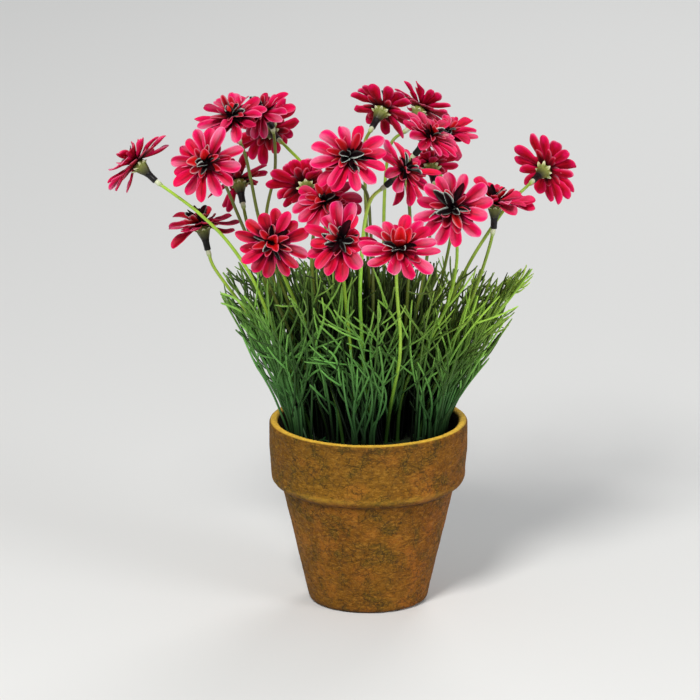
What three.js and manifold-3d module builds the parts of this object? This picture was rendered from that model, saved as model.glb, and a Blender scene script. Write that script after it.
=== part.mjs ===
// Potted star daisy: a terracotta-coloured pot with a dark planting filler, 22 flower stems,
// 22 double flower heads and 13 sprays of forked thread foliage.
// Millimetres, +Z up. The origin is the centre of the pot's underside; the pot stands on z = 0.
import * as THREE from "three";
import { mergeVertices } from "three/addons/utils/BufferGeometryUtils.js";
import Module from "manifold-3d";

const wasm = await Module();
wasm.setup();

// ---- driving dimensions -------------------------------------------------
const POT_HEIGHT = 95.8; // rim above the surface
const RIM_RADIUS = 51; // outside of the band at the rim
const BAND_FOOT_RADIUS = 49.9; // outside of the band near its lower edge
const BAND_FOOT_Z = 66.6; // where the lower edge of the band starts to round in
const SHOULDER_Z = 61.1; // where the band meets the tapered body
const SHOULDER_RADIUS = 44.5;
const BASE_RADIUS = 30.4; // tapered body at the surface
const WALL = 4.6; // wall thickness at the rim
const FLOOR = 5; // thickness of the pot's bottom
const POT_SEGMENTS = 40;

const FILLER_TOP = 86.5; // planting filler, 9.3 mm below the rim
const FIT_GAP = 0.45; // gap between filler and pot, all round
const HOLE_GAP = 0.5; // gap round each stem where it stands in the filler

const STEM_RADIUS = 0.85;
const STALK_RADIUS = 0.9; // main stalk of a foliage spray
const THREAD_RADIUS = 0.7; // side threads of a foliage spray

const FERRULE_RADIUS = 1.75; // socket under each flower
const FERRULE_LENGTH = 5.4;
const HEAD_BACK = 11; // from the petal plane back to the socket's open end
const CALYX_RADIUS = 4.6; // green cup at the petal plane
const CROWN_RADIUS = 6; // raised inner petals
const CROWN_HEIGHT = 9;
const PETALS = 9; // scallops of the petal skirt

// Flower heads: name, centre of the petal plane, direction the flower faces, petal radius.
const FLOWERS = [
  ["01", [-115.5, -28, 237.2], [-0.718, 0.286, 0.634], 19.5],
  ["02", [-81.1, -34, 239.8], [-0.224, -0.896, 0.384], 19.5],
  ["03", [-68.2, -12, 256.5], [-0.181, -0.439, 0.880], 19.5],
  ["04", [-53.8, 16, 252.5], [-0.421, -0.570, 0.706], 17.5],
  ["05", [-50.6, 46, 236.4], [-0.422, 0.888, 0.184], 19],
  ["06", [-66.2, 20, 215.1], [-0.180, 0.665, 0.724], 17.5],
  ["07", [-84.5, 4, 195.5], [-0.223, 0.220, 0.950], 19],
  ["08", [-48.4, -58, 205], [-0.030, -0.946, 0.323], 18.8],
  ["09", [-31.8, 0, 218.8], [-0.301, 0.924, 0.236], 19.5],
  ["10", [-9.9, -57, 248.1], [0.050, -0.723, 0.689], 20.3],
  ["11", [-21.5, -34, 218.9], [-0.200, -0.712, 0.673], 18.5],
  ["12", [-13.9, -66, 207.4], [-0.020, -0.866, 0.500], 20.3],
  ["13", [15.1, -79, 206], [0.050, -0.638, 0.769], 20.6],
  ["14", [16.3, -44, 237.7], [0.681, -0.298, 0.669], 18.2],
  ["15", [6.4, 12, 255.1], [0.411, 0.717, 0.563], 18],
  ["16", [26.2, 64, 242.5], [0.492, 0.449, 0.746], 17.5],
  ["17", [29.7, -9, 245.8], [0.542, -0.344, 0.767], 18],
  ["18", [42.3, -59, 222.7], [-0.051, -0.894, 0.446], 20],
  ["19", [64.2, -20, 213.6], [0.061, 0.156, 0.986], 20],
  ["20", [89.9, 30, 219.3], [0.498, 0.834, 0.237], 19],
  ["21", [32, 11, 225.9], [-0.150, 0.865, 0.479], 16.2],
  ["22", [39.9, 35, 235.3], [0.100, -0.313, 0.944], 17.4],
];

// Flower stems: name, points of the centre line from inside the filler up to the socket.
const STEMS = [
  ["01", [[-29, -7, 77.5], [-29.2, -7.1, 89.4], [-35.7, -10.7, 112.3], [-43.4, -14.9, 134.8], [-51.3, -19.4, 157.1], [-60, -23.9, 178.9], [-72.3, -28, 198.6], [-86.3, -31.3, 213.8], [-97.7, -33, 223.3], [-107.1, -31.3, 229.7]]],
  ["02", [[-20, -6, 77.5], [-20.2, -6, 89.2], [-27.3, -6.8, 111.6], [-35.7, -7.7, 133.7], [-44.8, -8.6, 155.5], [-54, -9.6, 177.2], [-63.1, -10.5, 199], [-70.8, -11, 218.2], [-76, -13.1, 231.3], [-78.4, -23.5, 235.3]]],
  ["03", [[-17, 2, 77.5], [-17.2, 2, 89.3], [-24, 1.6, 112], [-32.1, 1.2, 134.4], [-40.6, 0.7, 156.7], [-48.9, 0.2, 179], [-55.7, -0.3, 201.7], [-59.7, -0.9, 222], [-62.7, -2.4, 236.3], [-66.1, -6.9, 246.2]]],
  ["04", [[-9, 10, 77.5], [-9.4, 10, 89.5], [-19.7, 9.5, 111.7], [-31.6, 9.1, 133.1], [-43.2, 9.1, 154.6], [-51.6, 10.6, 176.8], [-52.3, 15.1, 200], [-48, 21.1, 220.5], [-47.9, 25.2, 234.2], [-48.9, 22.7, 244.3]]],
  ["05", [[-12, 24, 77.5], [-12.1, 23.9, 89.3], [-13.8, 22.8, 112.8], [-16, 21.8, 136.2], [-18.2, 22.1, 159.5], [-20.7, 25.3, 182.4], [-25, 28.1, 204.4], [-32.6, 26.4, 222.2], [-41.2, 25.3, 232.5], [-45.6, 35.6, 234.3]]],
  ["06", [[-25, 14, 77.5], [-25, 14, 86.9], [-28.3, 11.8, 105.4], [-33.3, 8.5, 123.3], [-40.3, 4.3, 140.3], [-48.2, 0.7, 157.1], [-55.3, -0.2, 174.3], [-60, 1.9, 189.7], [-62.6, 5.9, 200.3], [-64.1, 12.2, 206.6]]],
  ["07", [[-31, -1, 77.5], [-30.8, -1, 85.5], [-35.3, -1, 100.9], [-41.6, -1.1, 115.8], [-48.8, -1.1, 130.3], [-56.8, -1.2, 144.5], [-65.7, -1.3, 157.9], [-74, -1.4, 169.3], [-79.4, -1, 177.7], [-81.9, 1.4, 184.4]]],
  ["08", [[-13, -13, 77.5], [-13, -13, 87], [-16.2, -13.4, 105.8], [-21.1, -14.1, 124.2], [-27.8, -15.5, 141.9], [-35.4, -18.3, 159.1], [-42.1, -23.7, 175.9], [-46.2, -30.8, 190.1], [-47.9, -38.1, 198.7], [-48, -46.9, 201.2]]],
  ["09", [[-6, -1, 77.5], [-6.1, -1, 88.2], [-11.9, -2.7, 108.9], [-18.8, -4.7, 129.3], [-25, -6.8, 149.9], [-28.3, -8.6, 170.9], [-28.5, -10.6, 191.4], [-26.6, -16, 206.4], [-25.1, -20.5, 214], [-28.3, -10.8, 216]]],
  ["10", [[-1, -8, 77.5], [-1, -8.1, 89.3], [0.2, -10.2, 112.8], [1.5, -12.7, 136.2], [2.3, -15.6, 159.6], [2, -19, 182.9], [0.9, -24.4, 205.4], [-0.7, -32.9, 223.5], [-6.6, -41.2, 233.5], [-10.5, -48.5, 240]]],
  ["11", [[-8, -7, 77.5], [-8, -7, 86.8], [-8.5, -6.7, 105.5], [-9.2, -6.2, 124.2], [-10.4, -6, 142.8], [-12, -6.8, 161.3], [-13.9, -9.6, 179.6], [-15.7, -14.1, 195.1], [-17.4, -19.1, 205.3], [-19.2, -25.7, 211]]],
  ["12", [[-6, -14, 77.5], [-6, -14, 86.6], [-6.7, -15.5, 104.8], [-7.7, -17.9, 122.8], [-9.2, -21.6, 140.6], [-10.8, -26.9, 157.9], [-12.3, -34, 174.7], [-13.1, -41.3, 188.7], [-13.5, -48.2, 197.5], [-13.7, -55.9, 201.6]]],
  ["13", [[9, -13, 77.5], [9, -13, 86.6], [10.7, -18.6, 103.8], [13.2, -25.9, 120.4], [15.7, -33.7, 136.6], [16.1, -41.8, 153], [14.9, -50, 169.3], [14, -57.8, 183.1], [14, -65, 191.5], [14.5, -71.5, 197]]],
  ["14", [[3, -12, 77.5], [2.9, -12.1, 88.2], [0.2, -15.3, 109.1], [-2.3, -19.3, 129.9], [-3.7, -23.2, 150.8], [-4.3, -27.1, 171.7], [-3.3, -31, 192.5], [-1.8, -34.5, 210.7], [1.5, -37.3, 222.8], [8.3, -40.5, 229.9]]],
  ["15", [[4, 14, 77.5], [4, 13.9, 89.4], [3, 10.9, 113], [1.9, 7.4, 136.6], [0.8, 3.7, 160.2], [-0.3, 0.2, 183.7], [-1.3, -2.9, 207.3], [-1.9, -4.8, 228.1], [-1.9, -5, 242.9], [1.6, 3.6, 248.6]]],
  ["16", [[10, 25, 77.5], [10, 25, 88.5], [9.5, 28.7, 110.4], [8.9, 33.1, 132.1], [8.3, 37.9, 153.7], [8, 42.8, 175.3], [8.3, 47.8, 196.9], [9.4, 52.1, 215.7], [12.4, 55, 228.5], [20.5, 58.8, 233.7]]],
  ["17", [[15, 7, 77.5], [15.1, 6.8, 89.5], [16.6, 2.3, 113.2], [18.4, -2.8, 136.8], [19.9, -7, 160.5], [20.9, -9.6, 184.4], [21.1, -11, 207.1], [19.3, -8.1, 222.3], [17, -0.5, 228.1], [23.3, -5, 236.9]]],
  ["18", [[15, -9, 77.5], [15, -9.1, 88.1], [16.5, -12.7, 108.5], [22.6, -16.7, 127.6], [32.2, -20.8, 145.6], [40.2, -25.1, 164.3], [44.4, -29.8, 184.2], [44.7, -34.2, 201.8], [43.4, -39.2, 213.4], [42.9, -48.5, 217.5]]],
  ["19", [[26, -5, 77.5], [25.9, -5, 86.3], [30.1, -6.8, 103.3], [35.7, -9.2, 119.8], [42, -12, 136.2], [48.3, -14.8, 152.5], [54.3, -17.7, 168.9], [58.8, -20.3, 183.5], [61.6, -22.2, 194], [63.4, -21.8, 202]]],
  ["20", [[31, 8, 77.5], [31, 8, 88.8], [33.7, 8.3, 111.2], [37.3, 8.8, 133.5], [42.8, 9.8, 155.2], [51.8, 12, 175.3], [63.4, 14.8, 193.7], [73.1, 14.4, 207.7], [79, 10.9, 214.1], [84.1, 20.2, 216.6]]],
  ["21", [[9, -2, 77.5], [9.1, -2, 88], [13.1, -3.5, 108.5], [18.2, -5.4, 128.9], [23.3, -7, 149.3], [27.6, -7.9, 169.9], [30.7, -9, 190.5], [32.5, -10.7, 208.4], [33.9, -8.5, 218.5], [33.7, 0.9, 220.3]]],
  ["22", [[20, 20, 77.5], [20.1, 20, 88.3], [24.3, 22.5, 109.3], [29.6, 25.6, 130.1], [35.1, 28.9, 150.8], [40.3, 32.5, 171.5], [43.8, 36.4, 191.8], [42.3, 40.3, 206.7], [37.1, 42, 214.5], [38.7, 38.7, 224.2]]],
];

// Foliage sprays: name, points of the main stalk, and side threads as
// [share along the stalk, turn round the stalk in degrees, angle off the stalk in degrees, length].
const SPRAYS = [
  ["01", [[-36, -6, 78.5], [-36, -6, 90.5], [-43.1, -5.4, 121.3], [-59.6, -8.7, 145], [-75.2, -10, 165]],
    [[0.393, 75, 37, 22.3], [0.483, 92, 40, 24.7], [0.585, 146, 38, 26.7], [0.646, 57, 32, 22.1], [0.736, 19, 30, 20.9], [0.879, 220, 26, 17.5]]],
  ["02", [[-37, 7, 78.5], [-37, 7, 90.5], [-42.7, 9.7, 110.6], [-55.7, 13.9, 126.1], [-68.1, 18, 137.9]],
    [[0.396, 315, 41, 20.7], [0.531, 334, 33, 24.5], [0.579, 55, 35, 17.9], [0.693, 291, 41, 21.5], [0.739, 325, 40, 26.7], [0.868, 242, 32, 18.8]]],
  ["03", [[-32, -14, 78.5], [-32, -14, 90.5], [-36.9, -20.3, 123], [-49.9, -32.7, 149.7], [-61, -45, 171.6]],
    [[0.383, 259, 31, 23.9], [0.5, 162, 41, 18.7], [0.589, 57, 41, 21.9], [0.667, 61, 36, 21], [0.74, 12, 32, 22.8], [0.862, 324, 41, 26.4]]],
  ["04", [[-31, 22, 78.5], [-31, 22, 90.5], [-34.9, 25.1, 120.3], [-44.5, 30.7, 145.5], [-54.8, 35, 166.3]],
    [[0.424, 172, 34, 21], [0.492, 15, 39, 19.5], [0.552, 168, 37, 21.4], [0.669, 237, 29, 17.1], [0.777, 191, 40, 21.2], [0.883, 6, 26, 23]]],
  ["05", [[-18, -19, 78.5], [-18, -19, 90.5], [-22.4, -27.6, 124.9], [-30, -43.8, 152.7], [-38.6, -62, 175.3]],
    [[0.378, 24, 28, 20.7], [0.487, 203, 40, 20.7], [0.565, 208, 26, 20.8], [0.665, 139, 27, 22.5], [0.78, 270, 41, 20.5], [0.873, 159, 29, 25.9]]],
  ["06", [[-3, 35, 78.5], [-3, 35, 90.5], [-7.4, 39.8, 119.5], [-14.7, 48.9, 143.3], [-19.8, 58, 163.2]],
    [[0.42, 339, 39, 26.2], [0.47, 6, 29, 21.1], [0.605, 158, 34, 24.6], [0.646, 244, 27, 19.5], [0.788, 246, 32, 19.9], [0.886, 99, 26, 19.5]]],
  ["07", [[-1.9, -18, 78.5], [-1.9, -18, 90.5], [-4.1, -19.4, 122.8], [-11.1, -18.9, 150.6], [-18.6, -22, 173.6]],
    [[0.377, 110, 35, 20], [0.49, 38, 32, 17.3], [0.568, 327, 30, 19.7], [0.694, 318, 31, 20.8], [0.787, 285, 36, 18.8], [0.882, 152, 28, 25.9]]],
  ["08", [[4, -19, 78.5], [4, -19, 90.5], [3, -27, 123.8], [4.7, -43.5, 150.1], [4.7, -60, 172.6]],
    [[0.416, 207, 37, 20.9], [0.487, 207, 34, 24.1], [0.625, 305, 32, 20.7], [0.714, 142, 39, 17.9], [0.766, 186, 39, 25.8], [0.832, 222, 36, 18.5]]],
  ["09", [[13, 36, 78.5], [13, 36, 90.5], [12.9, 42.7, 117.8], [16.9, 53.5, 140], [16.6, 62, 158.9]],
    [[0.427, 199, 41, 18.9], [0.502, 116, 36, 23.1], [0.591, 117, 34, 20.7], [0.711, 166, 34, 19.6], [0.75, 343, 31, 25.7], [0.868, 353, 29, 26.4]]],
  ["10", [[24, -16, 78.5], [24, -16, 90.5], [25.8, -23.3, 124.6], [28.6, -34.7, 153], [33, -48, 176.6]],
    [[0.422, 204, 37, 24.2], [0.496, 228, 30, 17.2], [0.604, 171, 40, 19.6], [0.705, 355, 40, 26.6], [0.743, 59, 30, 20.6], [0.849, 225, 33, 24.4]]],
  ["11", [[32, 21, 78.5], [32, 21, 90.5], [35.7, 23.9, 116.9], [45.7, 31, 139.1], [54.6, 38, 156.9]],
    [[0.424, 138, 35, 18], [0.483, 80, 31, 20.2], [0.596, 120, 31, 25.3], [0.641, 2, 27, 25.7], [0.781, 262, 41, 19.2], [0.894, 87, 34, 23.8]]],
  ["12", [[38, 2, 78.5], [38, 2, 90.5], [45.6, 2.3, 124.6], [63.6, 1.2, 152.5], [83.2, 2, 174.4]],
    [[0.424, 89, 34, 17.5], [0.483, 353, 40, 22.8], [0.613, 325, 31, 26.8], [0.676, 57, 34, 22.9], [0.785, 242, 27, 23.4], [0.885, 50, 40, 21.3]]],
  ["13", [[34, -9, 78.5], [34, -9, 90.5], [39.2, -12, 118.7], [54.3, -19.9, 140.6], [70.9, -28, 157.9]],
    [[0.43, 115, 36, 25.5], [0.517, 223, 42, 17.9], [0.558, 199, 41, 23.9], [0.665, 39, 33, 21.8], [0.767, 223, 30, 25.8], [0.843, 39, 32, 26.4]]],
];

// ---- helpers ------------------------------------------------------------
const v3 = (p) => new THREE.Vector3(p[0], p[1], p[2]);

// A geometry as a closed solid, facing outwards.
function solid(geometry) {
  const g = geometry.clone();
  g.deleteAttribute("normal");
  g.deleteAttribute("uv");
  const m = mergeVertices(g, 1e-4);
  const tri = [];
  const ix = m.index.array;
  for (let i = 0; i < ix.length; i += 3)
    if (ix[i] !== ix[i + 1] && ix[i + 1] !== ix[i + 2] && ix[i] !== ix[i + 2])
      tri.push(ix[i], ix[i + 1], ix[i + 2]);
  const make = (t) =>
    new wasm.Manifold(
      new wasm.Mesh({
        numProp: 3,
        vertProperties: Float32Array.from(m.attributes.position.array),
        triVerts: Uint32Array.from(t),
      }),
    );
  const s = make(tri);
  if (s.volume() > 0) return s;
  const back = [];
  for (let i = 0; i < tri.length; i += 3) back.push(tri[i], tri[i + 2], tri[i + 1]);
  return make(back);
}

function geometryOf(s) {
  const m = s.getMesh();
  const n = m.numProp;
  const p = new Float32Array(m.numVert * 3);
  for (let i = 0; i < m.numVert; i++)
    for (let c = 0; c < 3; c++) p[i * 3 + c] = m.vertProperties[i * n + c];
  const g = new THREE.BufferGeometry();
  g.setAttribute("position", new THREE.BufferAttribute(p, 3));
  g.setIndex(new THREE.BufferAttribute(Uint32Array.from(m.triVerts), 1));
  g.computeVertexNormals();
  return g;
}

// A round bar along a smooth curve through the points.
function bar(points, radius, sides, steps) {
  const section = new THREE.Shape();
  for (let i = 0; i < sides; i++) {
    const a = (i / sides) * Math.PI * 2;
    if (i === 0) section.moveTo(radius * Math.cos(a), radius * Math.sin(a));
    else section.lineTo(radius * Math.cos(a), radius * Math.sin(a));
  }
  section.closePath();
  const path = new THREE.CatmullRomCurve3(points, false, "centripetal");
  return new THREE.ExtrudeGeometry(section, { steps, extrudePath: path, bevelEnabled: false });
}

function lathe(profile, segments) {
  return new THREE.LatheGeometry(
    profile.map(([r, z]) => new THREE.Vector2(r, z)),
    segments,
  ).rotateX(Math.PI / 2);
}

const root = new THREE.Group();
function add(name, geometry, material) {
  const mesh = new THREE.Mesh(geometry, material);
  mesh.name = name;
  root.add(mesh);
  return mesh;
}

// ---- pot ----------------------------------------------------------------
const insideRadius = (z) => {
  // inner wall: follows the body's taper, 4.6 mm thick at the rim
  const t = (z - FLOOR) / (POT_HEIGHT - FLOOR);
  return BASE_RADIUS - 4.2 + t * (RIM_RADIUS - WALL - (BASE_RADIUS - 4.2));
};
const potProfile = [
  [0, 0],
  [BASE_RADIUS - 1.8, 0],
  [BASE_RADIUS - 0.5, 0.6],
  [BASE_RADIUS + 0.3, 2],
  [SHOULDER_RADIUS - 0.4, SHOULDER_Z - 0.7],
  [SHOULDER_RADIUS + 0.4, SHOULDER_Z],
  [46.9, 62.1],
  [48.6, 63.5],
  [BAND_FOOT_RADIUS - 0.2, BAND_FOOT_Z - 1],
  [BAND_FOOT_RADIUS + 0.2, 74],
  [RIM_RADIUS, 82],
  [RIM_RADIUS, POT_HEIGHT - 1],
  [RIM_RADIUS - 0.9, POT_HEIGHT],
  [RIM_RADIUS - WALL + 0.8, POT_HEIGHT],
  [RIM_RADIUS - WALL, POT_HEIGHT - 0.9],
  [insideRadius(FLOOR), FLOOR],
  [0, FLOOR],
];
add(
  "pot",
  lathe(potProfile, POT_SEGMENTS),
  new THREE.MeshStandardMaterial({ color: 0x8a5a24, roughness: 0.88, metalness: 0 }),
);

// ---- stems and sprays ---------------------------------------------------
const stemMaterial = new THREE.MeshStandardMaterial({ color: 0x7fae35, roughness: 0.45, metalness: 0 });
const sprayMaterial = new THREE.MeshStandardMaterial({ color: 0x3f7a35, roughness: 0.55, metalness: 0 });
const holes = [];
function hole(points, radius, sides) {
  const low = points[0].clone();
  low.z -= HOLE_GAP;
  const high = points[1].clone();
  high.z += 1;
  const r = (radius + HOLE_GAP) / Math.cos(Math.PI / sides);
  holes.push(solid(bar([low, high], r, sides, 1)));
}
for (const [name, points] of STEMS) {
  const p = points.map(v3);
  hole(p, STEM_RADIUS, 5);
  add("flower_stem_" + name, bar(p, STEM_RADIUS, 5, 11), stemMaterial.clone());
}
for (const [name, points, threads] of SPRAYS) {
  const p = points.map(v3);
  hole(p, STALK_RADIUS, 5);
  const curve = new THREE.CatmullRomCurve3(p, false, "centripetal");
  let body = solid(bar(p, STALK_RADIUS, 5, 7));
  for (const [t, turn, off, length] of threads) {
    const o = curve.getPointAt(t);
    const T = curve.getTangentAt(t);
    const A = T.clone().cross(new THREE.Vector3(0, 0, 1)).normalize();
    const B = T.clone().cross(A);
    const a = (turn * Math.PI) / 180;
    const w = (off * Math.PI) / 180;
    const d1 = T.clone()
      .multiplyScalar(Math.cos(w))
      .addScaledVector(A, Math.cos(a) * Math.sin(w))
      .addScaledVector(B, Math.sin(a) * Math.sin(w));
    const d2 = d1.clone().addScaledVector(T, 0.35).add(new THREE.Vector3(0, 0, 0.25)).normalize();
    const mid = o.clone().addScaledVector(d1, length * 0.5);
    const end = mid.clone().addScaledVector(d2, length * 0.5);
    body = body.add(solid(bar([o, mid, end], THREAD_RADIUS, 4, 2)));
  }
  add("foliage_spray_" + name, geometryOf(body), sprayMaterial.clone());
}

// ---- planting filler ----------------------------------------------------
const fillerProfile = [
  [0, FLOOR + FIT_GAP],
  [insideRadius(FLOOR) - FIT_GAP * 1.6, FLOOR + FIT_GAP],
  [insideRadius(FILLER_TOP - 2) - FIT_GAP * 1.6, FILLER_TOP - 2],
  [insideRadius(FILLER_TOP) - FIT_GAP * 1.6 - 1.6, FILLER_TOP],
  [0, FILLER_TOP],
];
let filler = solid(lathe(fillerProfile, POT_SEGMENTS));
for (const h of holes) filler = filler.subtract(h);
add(
  "planting_filler",
  geometryOf(filler),
  new THREE.MeshStandardMaterial({ color: 0x141a10, roughness: 0.95, metalness: 0 }),
);

// ---- flower heads -------------------------------------------------------
// One closed body each: socket, calyx cup, scalloped petal skirt and raised crown.
for (const [name, centre, axis, radius] of FLOWERS) {
  const profile = [
    [0, -HEAD_BACK],
    [FERRULE_RADIUS, -HEAD_BACK],
    [FERRULE_RADIUS, -HEAD_BACK + FERRULE_LENGTH],
    [CALYX_RADIUS, 0.2],
    [radius, 2.6],
    [radius - 0.2, 3.9],
    [CROWN_RADIUS - 0.3, 3.6],
    [CROWN_RADIUS, CROWN_HEIGHT],
    [0, CROWN_HEIGHT - 2],
  ];
  const g = lathe(profile, PETALS * 2);
  const pos = g.attributes.position;
  for (let i = 0; i < pos.count; i++) {
    const x = pos.getX(i);
    const y = pos.getY(i);
    const r = Math.hypot(x, y);
    if (r < CROWN_RADIUS + 1) continue;
    const k = Math.round(((Math.atan2(y, x) + Math.PI / 2) / (Math.PI * 2)) * PETALS * 2);
    if (Math.abs(k % 2) === 1) {
      // notch between two petals
      const s = 0.66;
      pos.setXYZ(i, x * s, y * s, pos.getZ(i) - 0.9);
    }
  }
  const mesh = add(
    "flower_head_" + name,
    g,
    new THREE.MeshStandardMaterial({ color: 0xe01060, roughness: 0.7, metalness: 0 }),
  );
  mesh.quaternion.setFromUnitVectors(new THREE.Vector3(0, 0, 1), v3(axis).normalize());
  mesh.position.copy(v3(centre));
}

export default root;
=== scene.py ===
"""Potted star daisy: 22 magenta double daisies with dark frosted centres on thin green stems, over fine forked
foliage, in a tapered ochre clay pot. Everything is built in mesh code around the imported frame, in the same frame.
Tables and shape code are in millimetres and are turned to metres when a mesh is written."""

import math

import bpy
import numpy as np
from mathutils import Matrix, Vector, noise


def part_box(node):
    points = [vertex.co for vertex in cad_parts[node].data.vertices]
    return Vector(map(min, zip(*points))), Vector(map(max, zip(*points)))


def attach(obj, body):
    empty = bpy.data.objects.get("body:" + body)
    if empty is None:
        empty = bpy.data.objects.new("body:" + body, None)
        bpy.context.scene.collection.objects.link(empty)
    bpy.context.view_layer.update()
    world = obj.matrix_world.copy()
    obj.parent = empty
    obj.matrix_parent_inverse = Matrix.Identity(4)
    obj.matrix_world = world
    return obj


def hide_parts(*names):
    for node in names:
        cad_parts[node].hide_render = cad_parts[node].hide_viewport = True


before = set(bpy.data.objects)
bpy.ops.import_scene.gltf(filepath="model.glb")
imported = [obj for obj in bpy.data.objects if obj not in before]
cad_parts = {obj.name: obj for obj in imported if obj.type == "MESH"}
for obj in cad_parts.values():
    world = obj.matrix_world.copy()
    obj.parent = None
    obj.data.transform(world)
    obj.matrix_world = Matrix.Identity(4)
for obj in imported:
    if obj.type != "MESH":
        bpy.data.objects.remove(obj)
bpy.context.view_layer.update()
MM = 0.001

# Flower heads: number -> (petal-plane centre in mm, axis the face looks along, petal radius in mm).
HEADS = {
    "01": ((-115.54, -28, 237.16), (-0.7184, 0.2857, 0.6343), 19.5),
    "02": ((-81.06, -34, 239.77), (-0.2239, -0.8958, 0.3839), 19.5),
    "03": ((-68.18, -12, 256.54), (-0.1812, -0.439, 0.88), 19.5),
    "04": ((-53.8, 16, 252.55), (-0.4212, -0.5696, 0.7058), 17.5),
    "05": ((-50.57, 46, 236.42), (-0.4215, 0.888, 0.1839), 19),
    "06": ((-66.25, 20, 215.08), (-0.18, 0.6654, 0.7245), 17.5),
    "07": ((-84.5, 4, 195.54), (-0.2231, 0.2196, 0.9497), 19),
    "08": ((-48.37, -58, 204.99), (-0.0299, -0.9459, 0.3232), 18.8),
    "09": ((-31.82, 0, 218.78), (-0.3011, 0.9239, 0.2362), 19.5),
    "10": ((-9.9, -57, 248.11), (0.0503, -0.7233, 0.6887), 20.3),
    "11": ((-21.53, -34, 218.88), (-0.2001, -0.7125, 0.6726), 18.5),
    "12": ((-13.92, -66, 207.42), (-0.0202, -0.8655, 0.5004), 20.3),
    "13": ((15.11, -79, 206.03), (0.0503, -0.6376, 0.7688), 20.6),
    "14": ((16.28, -44, 237.7), (0.6811, -0.2979, 0.6689), 18.2),
    "15": ((6.4, 12, 255.14), (0.4107, 0.7169, 0.5634), 18),
    "16": ((26.25, 64, 242.47), (0.4922, 0.4486, 0.746), 17.5),
    "17": ((29.68, -9, 245.83), (0.542, -0.3439, 0.7668), 18),
    "18": ((42.32, -59, 222.69), (-0.0506, -0.8937, 0.4458), 20),
    "19": ((64.15, -20, 213.58), (0.0607, 0.1565, 0.9858), 20),
    "20": ((89.91, 30, 219.34), (0.4977, 0.8343, 0.2371), 19),
    "21": ((31.96, 11, 225.91), (-0.1498, 0.8647, 0.4793), 16.2),
    "22": ((39.87, 35, 235.27), (0.1002, -0.3129, 0.9445), 17.4),
}

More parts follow.
